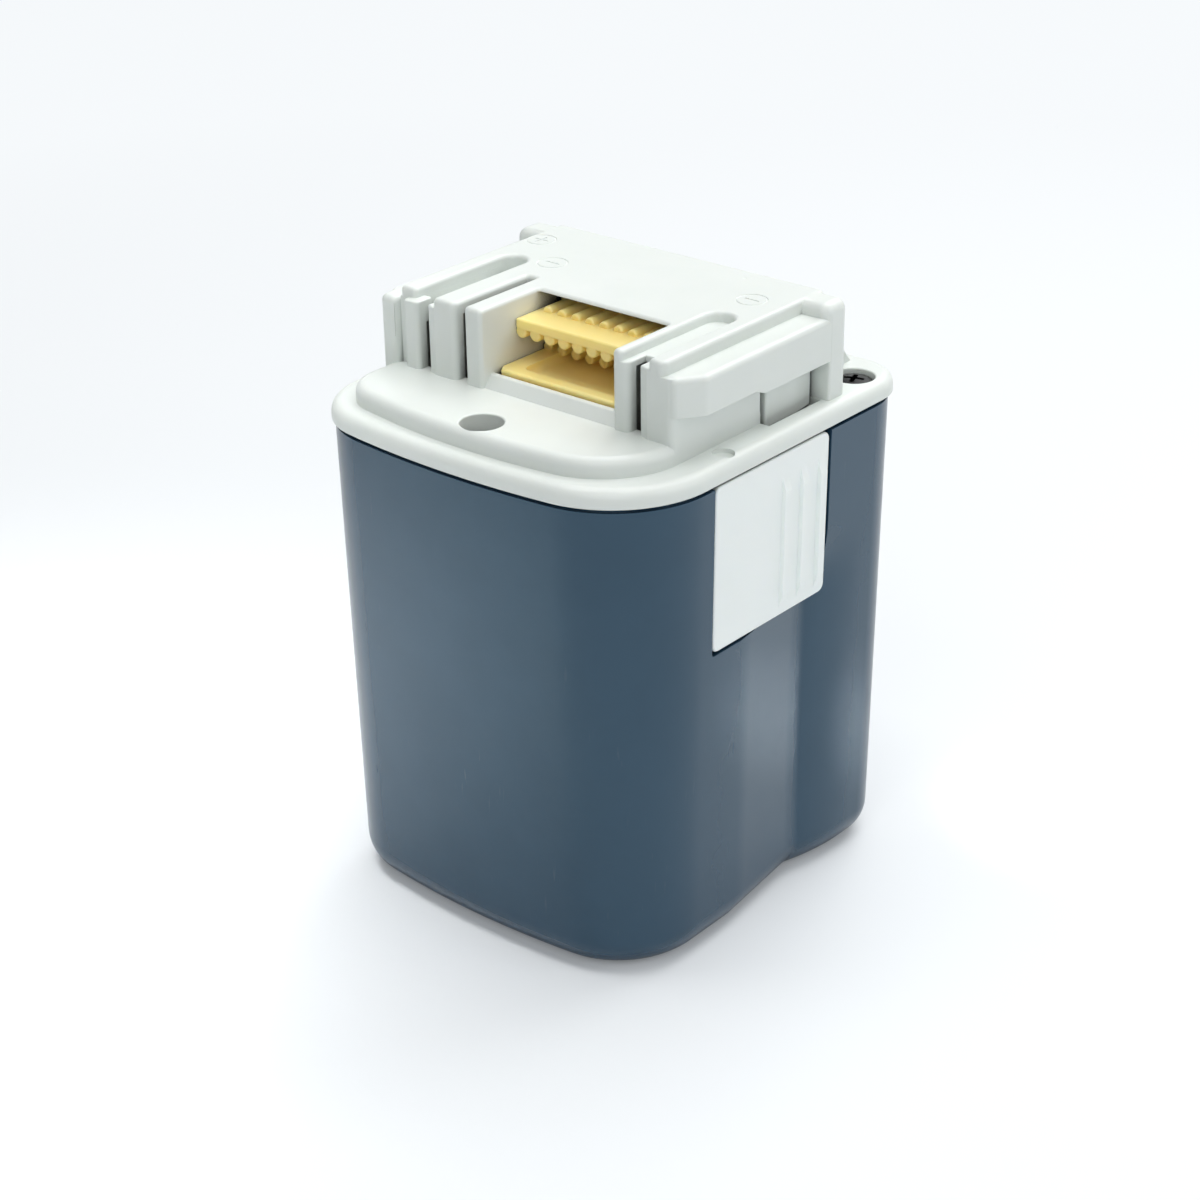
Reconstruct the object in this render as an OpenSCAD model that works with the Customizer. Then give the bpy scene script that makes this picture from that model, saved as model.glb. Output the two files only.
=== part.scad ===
// Cordless tool battery pack: a tub of ten cells under a slide-on head with two squeeze latches.
// Millimetres, +Z up, front towards -Y. The origin is on the floor under the middle of the tub.

/* [Cells] */
// Diameter of one cell over its sleeve
cell_d = 22.2; // [20:0.1:26]
// Length of one cell over its button
cell_l = 33; // [28:0.5:50]
// Smallest gap between two cells
cell_gap = 0.12; // [0.05:0.01:0.5]
// Gap between the two front cells
front_pair_gap = 6.9; // [4:0.1:9]
// Gap between the two rear cells
rear_pair_gap = 3.4; // [2:0.1:6]
// Diameter of the raised button on a cell
cell_button_d = 10; // [7:0.5:12]
// Height of the raised button on a cell
cell_button_h = 0.6; // [0.4:0.1:1]
// Thickness of the welded straps
strap_t = 0.2; // [0.15:0.05:0.4]
// Width of the welded straps
strap_w = 7; // [5:0.5:9]
// Thickness of the fibre pads
pad_t = 0.6; // [0.4:0.1:1]

/* [Case] */
// Wall thickness at the seam
wall = 2.7; // [2.4:0.1:3.5]
// Floor thickness
floor_t = 2.8; // [2.4:0.1:4]
// Room between the front cells and the bowed wall
front_room = 0.9; // [0.9:0.1:3]
// Room between the rear cells and the rear wall
rear_room = 0.2; // [0.2:0.1:2]
// Room beside the front cells
side_room = 1.65; // [1.6:0.05:4]
// Room between the cell block and the seam
top_room = 1.7; // [1.6:0.1:4]
// How far the front face bows forward
front_bow = 3.2; // [2:0.1:3.6]
// Radius of the front upright corners
front_r = 15.4; // [14:0.1:16]
// Radius of the rear upright corners
rear_r = 8.7; // [7.5:0.1:10]
// Radius round the foot
foot_r = 5.3; // [3:0.1:6]
// Draft of the walls in degrees
draft = 0.9; // [0.3:0.1:1]
// Height of the shadow line at the seam
seam_h = 0.4; // [0.2:0.1:0.8]
// Depth of the shadow line at the seam
seam_d = 0.7; // [0.4:0.1:1]
// Depth of the waist in each flank
waist_depth = 2.4; // [1:0.1:2.6]
// Where the waist starts, from the middle
waist_start = -7.2; // [-10:0.2:-4]
// Where the waist is deepest
waist_valley = 9.6; // [7:0.2:11]
// Where the waist has run out
waist_end = 21; // [18:0.2:22]

/* [Cover] */
// Thickness of the rim of the cover
flange_t = 2.7; // [2.4:0.1:4]
// Rounding of the top edge of the rim
flange_edge_r = 1.2; // [0.5:0.1:1.8]
// Height of the platform over the rim
platform_t = 2.7; // [2.4:0.1:4]
// Setback of the platform from the front of the rim
platform_setback = 2.8; // [2:0.1:5]
// Rounding of the top edge of the platform
platform_edge_r = 1.2; // [0.5:0.1:1.8]

/* [Head] */
// Width of the head between the rails
head_w = 50.8; // [50:0.2:53]
// Front face of the head
head_front = -16.7; // [-17.5:0.1:-16]
// Rear face of the head
head_rear = 18.8; // [18.4:0.1:19.6]
// Height of the head over the platform
head_h = 11.2; // [10.8:0.1:14]
// Width of the top plate between the shelves
plate_w = 49; // [48.4:0.2:50]
// Width over the two rails
rail_w = 56; // [55.6:0.2:57]
// Underside of the rails over the platform
rail_low = 3.8; // [3.6:0.1:4.4]
// Height of the rails
rail_h = 4.8; // [4:0.1:5.2]
// Length of the slanted lead-in of the rails
rail_lead = 3.6; // [2:0.1:5]
// Thickness of the side webs
web_t = 2; // [1.8:0.1:2.4]
// Thickness of the top plate
plate_t = 1.8; // [1.4:0.1:2]
// Depth of the wide grooves in the top
groove_depth = 1.4; // [0.8:0.1:1.6]

/* [Latch] */
// Width of a release button
button_w = 25.5; // [23:0.5:26]
// Middle of a release button, front to rear
button_mid = -0.7; // [-1:0.1:0]
// Height of a release button
button_h = 24.3; // [20:0.1:26]
// Thickness of a release button
button_t = 1.8; // [1.5:0.1:2]
// How far a release button can be pressed
travel = 2.2; // [1.5:0.1:2.2]
// Gap round a release button
button_gap = 0.5; // [0.35:0.05:0.7]
// Width of the latch block
latch_w = 11.2; // [8:0.1:11.3]
// How far the latch stands out of its web
latch_out = 1; // [0.6:0.1:1.4]

/* [Connector] */
// Distance between contacts
contact_pitch = 2.5; // [2.4:0.02:2.54]
// Height of the comb bar over the tray
comb_gap = 4.5; // [3.8:0.1:4.7]

/* [Screws] */
// Diameter of the screw heads
screw_head_d = 5.4; // [5:0.1:5.6]
// Thread diameter of the screws
screw_d = 2.9; // [2.5:0.1:3]
// Length of the screws under the head
screw_l = 10; // [7:0.5:12]

/* [Hidden] */
$fn = 48;

// overlap of joined blocks, and overshoot of cuts
lap = 1;
// gap between pieces that move past each other
slip = 0.3;

// cell layout: two at the front, one in the middle, two at the rear, in two layers
cell_r = cell_d / 2;
cell_pitch = cell_d + cell_gap;
front_x = (cell_d + front_pair_gap) / 2;
rear_x = (cell_d + rear_pair_gap) / 2;
front_dy = sqrt(cell_pitch * cell_pitch - front_x * front_x);
rear_dy = sqrt(cell_pitch * cell_pitch - rear_x * rear_x);

case_w = 2 * (front_x + cell_r + side_room + wall);
case_d = 2 * wall + front_room + rear_room + cell_d + front_dy + rear_dy;
pad_z = floor_t;
low_strap_z = pad_z + pad_t;
low_cell_z = low_strap_z + strap_t;
mid_strap_z = low_cell_z + cell_l;
high_cell_z = mid_strap_z + strap_t;
top_strap_z = high_cell_z + cell_l;
lid_z = top_strap_z + strap_t;
case_h = lid_z + top_room;

half_w = case_w / 2;
half_d = case_d / 2;
front_y = -half_d + wall + front_room + cell_r;
mid_y = front_y + front_dy;
rear_y = mid_y + rear_dy;
// positive end up for the first, third and fifth stick
STICKS = [[-front_x, front_y, 1], [front_x, front_y, 0], [0, mid_y, 1],
          [-rear_x, rear_y, 0], [rear_x, rear_y, 1]];

// levels of the cover
flange_z = case_h + flange_t;
plat_z = flange_z + platform_t;
head_z = plat_z + head_h;
rail_z0 = plat_z + rail_low;
rail_z1 = rail_z0 + rail_h;
head_x = head_w / 2;
plate_x = plate_w / 2;
rail_x = rail_w / 2;
groove_z = head_z - groove_depth;
roof_z = head_z - plate_t;

// plan of the case: a bowed front, round corners and flat flanks
bow_r = (half_w * half_w + front_bow * front_bow) / (2 * front_bow);

// waist: a flat strip sloping in to the valley, then a round lobe back out
lobe_l = waist_end - waist_valley;
lobe_r = (lobe_l * lobe_l + waist_depth * waist_depth) / (2 * waist_depth);
function waist(y) =
    y <= waist_start || y >= waist_end ? 0
    : y < waist_valley ? waist_depth * (y - waist_start) / (waist_valley - waist_start)
    : lobe_r - sqrt(lobe_r * lobe_r - pow(waist_end - y, 2));

// places along the flank that follow the waist
strip_steps = 3;
lobe_steps = 6;
FLANK = concat([for (k = [0:strip_steps]) waist_start + (waist_valley - waist_start) * k / strip_steps],
               [for (k = [1:lobe_steps]) waist_valley + lobe_l * k / lobe_steps]);

// points on an arc round [x, y] from angle t0 to t1, in n steps
function arc(x, y, r, t0, t1, n) =
    [for (k = [0:n]) let (t = t0 + (t1 - t0) * k / n) [x + r * cos(t), y + r * sin(t)]];

// right half of an outline of half width a between yf and yr: a front of radius br, corners of fr and rr,
// all moved in by i, with a share w of the waist if it is given
function half_plan(a, yf, yr, br, fr, rr, i, w) =
    let (cy = yf + br,
         fx = a - fr,
         fy = cy - sqrt(pow(br - fr, 2) - fx * fx),
         turn = atan2(fy - cy, fx),
         bow = arc(0, cy, br - i, -90, turn, 6))
    concat([for (k = [0:len(bow) - 2]) bow[k]],
           arc(fx, fy, fr - i, turn, 0, 10),
           is_undef(w) ? [] : [for (y = FLANK) [a - i - w * waist(y), y]],
           arc(a - rr, yr - rr, rr - i, 0, 90, 8));

// a right half, then the mirror image of another half, less its first point, which is on the middle line
function paired(right, left) =
    concat(right, [for (k = [len(left) - 1:-1:1]) [-left[k][0], left[k][1]]]);

// right half of the case or of the rim above it, with its front corner given
function case_half(fr, i, w) = half_plan(half_w, -half_d, half_d, bow_r, fr, rear_r, i, w);

function case_plan(i, w) = paired(case_half(front_r, i, w), case_half(front_r, i, w));

// the cover's front left corner is tighter than the case's, and hangs over it a little
rim_fr_left = front_r - 3;
function rim_plan(i) = paired(case_half(front_r, i, 0), case_half(rim_fr_left, i, 0));

plat_y0 = -half_d + platform_setback;
plat_y1 = head_rear - 0.4;
plat_fr = front_r - platform_setback;
plat_fr_left = plat_fr - 4.5;
plat_rr = 3;
function plat_half(fr, i) =
    half_plan(head_x, plat_y0, plat_y1, bow_r - platform_setback, fr, plat_rr, i);
function plat_plan(i) = paired(plat_half(plat_fr, i), plat_half(plat_fr_left, i));

// a solid through a stack of outlines, each [z, outline]
module loft(levels) {
    n = len(levels[0][1]);
    m = len(levels);
    points = concat([for (l = levels) each [for (p = l[1]) [p[0], p[1], l[0]]]],
                    [[0, 0, levels[0][0]], [0, 0, levels[m - 1][0]]]);
    sides = [for (j = [0:m - 2]) for (k = [0:n - 1])
        let (k2 = (k + 1) % n, a = j * n + k, b = j * n + k2, c = a + n, d = b + n)
        each [[a, c, d], [a, d, b]]];
    ends = [for (k = [0:n - 1]) let (k2 = (k + 1) % n)
        each [[n * m, k, k2], [n * m + 1, (m - 1) * n + k2, (m - 1) * n + k]]];
    polyhedron(points, concat(sides, ends), convexity = 6);
}

function lean(z) = max(0, case_h - z) * tan(draft);

// a box between two corners
module span(lo, hi) translate(lo) cube(hi - lo);

// a rod along Z between two heights
module rod(x, y, z0, z1, d) translate([x, y, z0]) cylinder(d = d, h = z1 - z0);

module flip() mirror([1, 0, 0]) children();

module both_sides() {
    children();
    flip() children();
}

// screws: one in the platform, two in the rear corners of the rim
screw_front_y = -half_d + 6.5;
screw_rear_x = half_w - 4.8;
screw_rear_y = half_d - 7.7;
SCREWS = [[0, screw_front_y], [screw_rear_x, screw_rear_y], [-screw_rear_x, screw_rear_y]];
screw_seat_z = case_h + 1;
screw_head_h = 1.4;
cross_w = 0.8;
cross_l = 3;
cross_depth = 0.8;
counterbore_d = screw_head_d + 0.6;
clearance_d = screw_d + 0.5;
boss_d = screw_d + 2.1;
boss_gap = 0.02;
pilot_d = screw_d + 0.1;
pilot_l = screw_l + 2;

// release buttons
button_y0 = button_mid - button_w / 2;
button_y1 = button_mid + button_w / 2;
button_z1 = case_h - 0.4;
button_z0 = button_z1 - button_h;
button_face = half_w - 0.25;
notch_x0 = half_w - 2 * wall - 3;

// the waist is full from waist_z up, fades out behind the button and is a little shallower at the foot
waist_z = foot_r + 11;
fade_z0 = button_z0 - 1;
fade_z1 = button_z0 + 10;
foot_waist = 0.85;
foot_steps = 6;
fade_steps = 4;

module case() {
    foot = [for (k = [0:foot_steps]) let (t = 90 * k / foot_steps, z = foot_r * (1 - cos(t)))
        [z, case_plan(foot_r * (1 - sin(t)) + lean(z), foot_waist)]];
    body = [[waist_z, case_plan(lean(waist_z), 1)]];
    fade = [for (k = [0:fade_steps]) let (u = k / fade_steps, z = fade_z0 + u * (fade_z1 - fade_z0))
        [z, case_plan(lean(z), 1 - u * u * (3 - 2 * u))]];
    rim_z = case_h - seam_h;
    rim = [[rim_z, case_plan(lean(rim_z), 0)],
           [rim_z, case_plan(seam_d, 0)],
           [case_h, case_plan(seam_d, 0)]];
    color([0.28, 0.36, 0.44])
    difference() {
        loft(concat(foot, body, fade, rim));
        difference() {
            translate([0, 0, floor_t])
                linear_extrude(case_h) polygon(case_plan(wall, 1));
            for (s = SCREWS)
                rod(s[0], s[1], 0, case_h - boss_gap, boss_d);
        }
        for (s = SCREWS)
            rod(s[0], s[1], case_h - pilot_l, case_h + lap, pilot_d);
        both_sides()
            span([notch_x0, button_y0 - button_gap, button_z0 - button_gap],
                 [half_w + lap, button_y1 + button_gap, case_h + lap]);
    }
}

// connector bay, between two walls of the head
bay_x0 = -7.8;
bay_x1 = 15.2;
bay_back = head_front + 12;
tray_front = head_front + 2.7;
pocket_back = bay_back + 6.4;
// ramp in front of the connector tray, with a narrow flat top
ramp_y0 = head_front + 0.5;
ramp_y1 = tray_front - 0.2;
ramp_top = 0.7;
ramp_h = 1.7;

// circuit board under the platform
board_t = 1.6;
board_z1 = plat_z - 2.3;
board_z0 = board_z1 - board_t;
board_x = head_x - 3.4;
board_y0 = head_front + 2;
board_step = head_front + 15.5;
board_x2 = 14.6;
board_y1 = head_rear - 3.3;

// blade slots: middle of the slot, width, and end of its open top
SLOTS = [[-18, 1.4, head_front + 2], [-11.5, 1.6, head_front + 15.2], [19.35, 1.1, head_front + 2]];
pocket_w = 4.4;
pocket_y0 = head_front + 1.8;
pocket_y1 = head_front + 14.7;
pocket_z1 = groove_z - 1.6;

// wide grooves: two sides and the rear end
GROOVES = [[-23.1, -17.3, head_front + 20.9], [16.8, 21.5, head_front + 19.9]];
// narrow groove in the front beside the left outer fin
nick_x = GROOVES[0][0] + 0.1;
nick_w = 0.8;
nick_depth = 1.2;

// latch window in each web
window_y0 = button_mid + 2.1;
window_y1 = button_mid + 14.9;
window_z1 = rail_z0 - 0.7;
lintel_lead = 2.8;
// the latch block stands in a recess of the rim
sill_drop = 1.1;
sill_gap = 0.5;
latch_y0 = window_y0 + 0.8;
latch_y1 = latch_y0 + latch_w;
stem_x1 = head_x - web_t - slip;
stem_x0 = stem_x1 - 2.3;
stem_y0 = latch_y0 + slip;
stem_y1 = stem_y0 + 5.5;
hollow_y0 = window_y0 - 2.4;
hollow_y1 = head_rear - web_t;

// spring between the stem and a rib under the top plate
spring_y = (stem_y0 + stem_y1) / 2;
spring_z = plat_z + 4.4;
spring_r = 1.9;
wire_d = 0.5;
seat_x1 = 13.5;
seat_x0 = seat_x1 - 1.5;
seat_drop = 3.2;
pin_d = 2.4;
pin_l = 1.5;

// rear posts, with the shelves over the rails ending just in front of them
post_y0 = window_y1;
post_y1 = head_rear - 0.3;
post_x0 = head_x - 3;
post_x1 = rail_x + 0.3;
shelf_end = post_y0 - 1;

module rail() {
    translate([0, 0, rail_z0])
        linear_extrude(rail_h)
            polygon([[head_x - lap, head_front], [head_x, head_front], [rail_x, head_front + rail_lead],
                     [rail_x, post_y0 + lap], [head_x - lap, post_y0 + lap]]);
    // lower edge over the latch window
    span([head_x - lap, window_y0 - lintel_lead, window_z1], [rail_x, post_y0 + lap, rail_z0 + lap]);
    span([post_x0, post_y0, flange_z - lap], [post_x1, post_y1, head_z]);
    span([post_x0, shelf_end, rail_z0], [post_x1, post_y1, head_z]);
}

// slanted fin behind the head
gusset_x = 22;
gusset_t = 1.6;
gusset_z1 = head_z - 1.5;
gusset_y1 = half_d - 2.9;
module gusset() {
    translate([gusset_x, 0, 0])
        rotate([90, 0, -90])
            linear_extrude(gusset_t)
                polygon([[-head_rear + lap, flange_z - lap], [-gusset_y1, flange_z - lap],
                         [-gusset_y1, flange_z], [-head_rear, gusset_z1], [-head_rear + lap, gusset_z1]]);
}

// a round-ended trough in the top
module groove(x0, x1, y1) {
    w = x1 - x0;
    span([x0, head_front - lap, groove_z], [x1, y1 - w / 2, head_z + lap]);
    rod(x0 + w / 2, y1 - w / 2, groove_z, head_z + lap, w);
}

// a blade slot: its mouth, its open top and the pocket for its clip
module slot(s) {
    w = s[1] / 2;
    span([s[0] - w, head_front - lap, plat_z], [s[0] + w, pocket_y0 + lap, pocket_z1]);
    span([s[0] - w, head_front - lap, pocket_z1 - lap], [s[0] + w, s[2], head_z + lap]);
    span([s[0] - pocket_w / 2, pocket_y0, board_z1 - lap], [s[0] + pocket_w / 2, pocket_y1, pocket_z1]);
}

// polarity marks in the top: middle of the mark, and true for a plus
MARKS = [[-21.2, 11.3, true], [-13.2, 4.5, false], [18.3, 9.3, false]];
mark_d = 4.6;
mark_depth = 0.2;
mark_line = 0.3;
mark_bar = [2.4, 0.4];

// sunk ring with a minus bar, and a second bar across it for a plus
module mark(m) {
    h = 2 * mark_depth;
    translate([m[0], m[1], head_z]) {
        difference() {
            cylinder(d = mark_d, h = h, center = true);
            cylinder(d = mark_d - 2 * mark_line, h = 2 * h, center = true);
        }
        for (t = m[2] ? [0, 90] : [0])
            rotate([0, 0, t]) cube([mark_bar[0], mark_bar[1], h], center = true);
    }
}

// shallow round moulding marks in the top: place and diameter
PIPS = [[-0.75, 4.4, 1.6], [12.2, 15.9, 0.8]];
pip_depth = 0.15;

// shallow round dimple in the rim beside each button
dimple_x = half_w - 2.4;
dimple_y = -9;
dimple_d = 3.1;
dimple_depth = 0.25;

// the blocks of the cover before anything is cut out
module cover_blocks() {
    rim = [for (k = [0:4]) let (t = 22.5 * k)
        [flange_z - flange_edge_r * (1 - sin(t)), rim_plan(flange_edge_r * (1 - cos(t)))]];
    ledge = [for (k = [0:4]) let (t = 22.5 * k)
        [plat_z - platform_edge_r * (1 - sin(t)), plat_plan(platform_edge_r * (1 - cos(t)))]];
    loft(concat([[case_h, rim_plan(0)]], rim));
    loft(concat([[flange_z - lap, plat_plan(0)]], ledge));
    span([-head_x, head_front, flange_z - lap], [head_x, head_rear, rail_z1]);
    span([-plate_x, head_front, rail_z1 - lap], [plate_x, head_rear, head_z]);
    both_sides() {
        rail();
        gusset();
    }
}

// hollow under the top plate for the latch stems, less the rib and pin that hold each spring
module latch_hollow() {
    difference() {
        span([-head_x + web_t, hollow_y0, case_h - lap], [head_x - web_t, hollow_y1, roof_z]);
        both_sides() {
            span([seat_x0, stem_y0, spring_z - seat_drop], [seat_x1, stem_y1, head_z]);
            translate([seat_x1 - lap, spring_y, spring_z])
                rotate([0, 90, 0]) cylinder(d = pin_d, h = pin_l + lap);
        }
    }
}

module cover() {
    color([0.86, 0.88, 0.88]) {
        difference() {
            cover_blocks();
            // connector bay and its pocket under the top plate
            span([bay_x0, head_front - lap, plat_z], [bay_x1, bay_back, head_z + lap]);
            span([bay_x0, tray_front, case_h - lap], [bay_x1, pocket_back, roof_z]);
            // hollow for the board
            span([-board_x - slip, board_y0 - slip, case_h - lap],
                 [board_x + slip, board_step + slip, board_z1]);
            latch_hollow();
            for (s = SLOTS)
                slot(s);
            for (g = GROOVES)
                groove(g[0], g[1], g[2]);
            span([nick_x, head_front - lap, plat_z],
                 [nick_x + nick_w, head_front + nick_depth, head_z + lap]);
            both_sides() {
                span([head_x - web_t - lap, window_y0, flange_z], [head_x + lap, window_y1, window_z1]);
                span([head_x - web_t - lap, window_y0, flange_z - sill_drop],
                     [head_x + latch_out + sill_gap, latch_y1 + sill_gap, flange_z + lap]);
                rod(dimple_x, dimple_y, flange_z - dimple_depth, flange_z + lap, dimple_d);
            }
            for (s = SCREWS) {
                rod(s[0], s[1], screw_seat_z, head_z, counterbore_d);
                rod(s[0], s[1], case_h - lap, screw_seat_z + lap, clearance_d);
            }
            for (m = MARKS)
                mark(m);
            for (p = PIPS)
                rod(p[0], p[1], head_z - pip_depth, head_z + lap, p[2]);
        }
        translate([bay_x0 - lap, 0, plat_z])
            rotate([90, 0, 90])
                linear_extrude(bay_x1 - bay_x0 + 2 * lap)
                    polygon([[ramp_y0, -lap], [ramp_y1, -lap], [ramp_y1, ramp_h],
                             [ramp_y1 - ramp_top, ramp_h], [ramp_y0, 0]]);
    }
}

module cover_screws() {
    color([0.1, 0.1, 0.11])
    for (s = SCREWS)
        difference() {
            union() {
                rod(s[0], s[1], screw_seat_z, screw_seat_z + screw_head_h, screw_head_d);
                rod(s[0], s[1], screw_seat_z - screw_l, screw_seat_z + lap, screw_d);
            }
            for (t = [20, 110])
                translate([s[0], s[1], screw_seat_z + screw_head_h])
                    rotate([0, 0, t]) cube([cross_l, cross_w, 2 * cross_depth], center = true);
        }
}

// rounded plate in Y and Z, drawn along X
module panel(x0, x1, r) {
    translate([x0, 0, 0])
        rotate([90, 0, 90])
            linear_extrude(x1 - x0) {
                translate([button_y0 + r, button_z0]) square([button_w - 2 * r, button_h]);
                translate([button_y0, button_z0 + r]) square([button_w, button_h - 2 * r]);
                for (y = [button_y0 + r, button_y1 - r])
                    for (z = [button_z0 + r, button_z1 - r])
                        translate([y, z]) circle(r);
            }
}

// grip ribs near the rear edge of the button
rib_r = 0.7;
rib_proud = 0.35;
rib_y0 = button_mid + 2;
rib_pitch = 4.43;
rib_margin = 1.2;
rib_l = button_h - 5.6;

// arm behind the button, and the stem up through the cover
foot_x = button_face - lean(button_z0);
arm_z1 = case_h - 2.4;
arm_z0 = arm_z1 - 7;
stem_z1 = spring_z + 2.4;

// latch block on the stem: the rear end of its face is slanted
latch_x1 = head_x + latch_out;
latch_z0 = flange_z - sill_drop + slip;
latch_z1 = window_z1 - 0.4;
latch_slant = [1.2, 3.5];

module button_plate() {
    intersection() {
        rotate([90, 0, 0])
            translate([0, 0, -button_y1 - lap])
                linear_extrude(button_w + 2 * lap)
                    polygon([[foot_x, button_z0], [button_face, button_z1],
                             [button_face - button_t, button_z1], [foot_x - button_t, button_z0]]);
        panel(half_w - 2 * wall, half_w + lap, 1.2);
    }
    for (k = [0:2])
        translate([foot_x - rib_r + rib_proud, rib_y0 + rib_pitch * k, button_z0 + rib_margin])
            rotate([0, draft, 0]) cylinder(r = rib_r, h = rib_l);
}

module release_button() {
    color([0.85, 0.87, 0.87]) {
        button_plate();
        span([stem_x0, stem_y0, arm_z0], [button_face - button_t, stem_y1, arm_z1]);
        span([stem_x0, stem_y0, arm_z0], [stem_x1, stem_y1, stem_z1]);
        // shutter behind the front of the window
        span([stem_x0, hollow_y0 + slip, latch_z0 + slip], [stem_x1, stem_y1, latch_z1 - slip]);
        translate([0, 0, latch_z0])
            linear_extrude(latch_z1 - latch_z0)
                polygon([[stem_x0, latch_y0], [latch_x1, latch_y0], [latch_x1, latch_y1 - latch_slant[1]],
                         [latch_x1 - latch_slant[0], latch_y1], [stem_x0, latch_y1]]);
        translate([stem_x0 + lap, spring_y, spring_z])
            rotate([0, -90, 0]) cylinder(d = pin_d, h = pin_l + lap);
    }
}

module release_button_right() release_button();

module release_button_left() flip() release_button();

// round wire wound along X from the rib to the stem
spring_l = stem_x0 - seat_x1;
spring_turns = 5;
spring_steps = 14;
spring_sides = 8;
spring_pitch = (spring_l - wire_d) / spring_turns;
echo(spring_gap = spring_pitch - wire_d);
module latch_spring() {
    n = spring_turns * spring_steps;
    pts = [for (k = [0:n]) for (j = [0:spring_sides - 1])
        let (t = 360 * k / spring_steps, q = 360 * j / spring_sides, r = spring_r + wire_d / 2 * cos(q))
        [seat_x1 + wire_d / 2 + spring_pitch * k / spring_steps + wire_d / 2 * sin(q),
         spring_y + r * cos(t), spring_z + r * sin(t)]];
    sides = [for (k = [0:n - 1]) for (j = [0:spring_sides - 1])
        let (j2 = (j + 1) % spring_sides, a = k * spring_sides + j, b = k * spring_sides + j2)
        each [[a, b, b + spring_sides], [a, b + spring_sides, a + spring_sides]]];
    ends = [[for (j = [spring_sides - 1:-1:0]) j], [for (j = [0:spring_sides - 1]) n * spring_sides + j]];
    color([0.7, 0.71, 0.72])
    polyhedron(pts, concat(sides, ends), convexity = 8);
}

module latch_spring_right() latch_spring();

module latch_spring_left() flip() latch_spring();

// connector: a tray, a block at the back and a comb bar over the tray
side_gap = 0.15;
conn_x0 = bay_x0 + side_gap;
conn_x1 = bay_x1 - side_gap;
conn_y0 = tray_front + 0.1;
conn_y1 = pocket_back - 0.5;
block_y0 = bay_back + 1.2;
block_z1 = roof_z - 0.2;
tray_z = plat_z + 2.3;
tray_bevel = [0.8, 1.2];
tray_rim = [2.4, 1.6, 1];
tray_depth = 0.9;
bar_z0 = tray_z + comb_gap;
bar_z1 = bar_z0 + 1.5;
bar_y0 = bay_back - 5.1;
ways = floor((conn_x1 - conn_x0) / contact_pitch);
way_x0 = (conn_x0 + conn_x1 - (ways - 1) * contact_pitch) / 2;
WAYS = [for (k = [0:ways - 1]) way_x0 + k * contact_pitch];
// round bumps of each way: a ridge on top of the bar, and a tooth and a peg under it
ridge_d = 1.7;
ridge_sunk = 0.25;
ridge_y0 = bar_y0 + 4.6;
ridge_y1 = block_y0 + lap;
tooth_d = 2;
tooth_drop = 0.45;
tooth_y0 = bar_y0 + 0.15;
tooth_y1 = tooth_y0 + 1.8;
peg_d = 1.7;
peg_drop = 0.7;
peg_y0 = bar_y0 + 2.6;
peg_y1 = peg_y0 + 1.3;
// each bump: front end, rear end, diameter and level
BUMPS = [[ridge_y0, ridge_y1, ridge_d, bar_z1 - ridge_sunk],
         [tooth_y0, tooth_y1, tooth_d, bar_z0 - tooth_drop],
         [peg_y0, peg_y1, peg_d, bar_z0 - peg_drop]];
tip_y = peg_y1 + 0.4;
blade_z = bar_z0 - 0.9;
blade_t = 0.4;
blade_w = 1;
blade_gap = 0.05;

module connector_housing() {
    color([0.93, 0.74, 0.32])
    difference() {
        union() {
            // tray with a bevelled front left corner
            translate([0, 0, board_z1])
                linear_extrude(tray_z - board_z1)
                    polygon([[conn_x0 + tray_bevel[0], conn_y0], [conn_x1, conn_y0], [conn_x1, conn_y1],
                             [conn_x0, conn_y1], [conn_x0, conn_y0 + tray_bevel[1]]]);
            span([conn_x0, block_y0, board_z1], [conn_x1, conn_y1, block_z1]);
            span([conn_x0, bar_y0, bar_z0], [conn_x1, block_y0 + lap, bar_z1]);
            for (x = WAYS)
                for (b = BUMPS)
                    translate([x, b[0], b[3]])
                        rotate([-90, 0, 0]) cylinder(d = b[2], h = b[1] - b[0]);
        }
        // sunk floor of the tray
        span([conn_x0 + tray_rim[0], conn_y0 + tray_rim[1], tray_z - tray_depth],
             [conn_x1 - tray_rim[2], block_y0, tray_z + lap]);
        // passages for the contacts
        for (x = WAYS)
            span([x - blade_w / 2 - blade_gap, block_y0 - lap, blade_z - blade_gap],
                 [x + blade_w / 2 + blade_gap, conn_y1 + lap, blade_z + blade_t + blade_gap]);
    }
}

module connector_contacts() {
    tail_y = conn_y1 + blade_gap;
    color([0.8, 0.66, 0.36])
    for (x = WAYS)
        translate([x - blade_w / 2, 0, 0]) {
            span([0, tip_y, blade_z], [blade_w, tail_y + blade_t, blade_z + blade_t]);
            span([0, tail_y, board_z1], [blade_w, tail_y + blade_t, blade_z + blade_t]);
        }
}

// sprung clip that grips a tool blade
clip_l = 9;
clip_t = 0.4;
clip_gap = 0.05;
clip_flare = 0.3;
module clip(s) {
    h = pocket_z1 - board_z1 - 0.6;
    w = pocket_w / 2 - 0.4;
    g = clip_gap + clip_flare;
    bend_z = h * 0.35;
    grip_z = h * 0.78;
    leaf = [[w, clip_t / 2], [w, bend_z], [g, grip_z], [w - clip_flare, h], [w - clip_flare - clip_t, h],
            [clip_gap, grip_z], [w - clip_t, bend_z], [w - clip_t, clip_t / 2]];
    color([0.78, 0.64, 0.36])
    translate([s[0], (pocket_y0 + pocket_y1 + clip_l) / 2, board_z1])
        rotate([90, 0, 0])
            linear_extrude(clip_l) {
                translate([-w, 0]) square([2 * w, clip_t]);
                polygon(leaf);
                polygon([for (k = [len(leaf) - 1:-1:0]) [-leaf[k][0], leaf[k][1]]]);
            }
}

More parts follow.
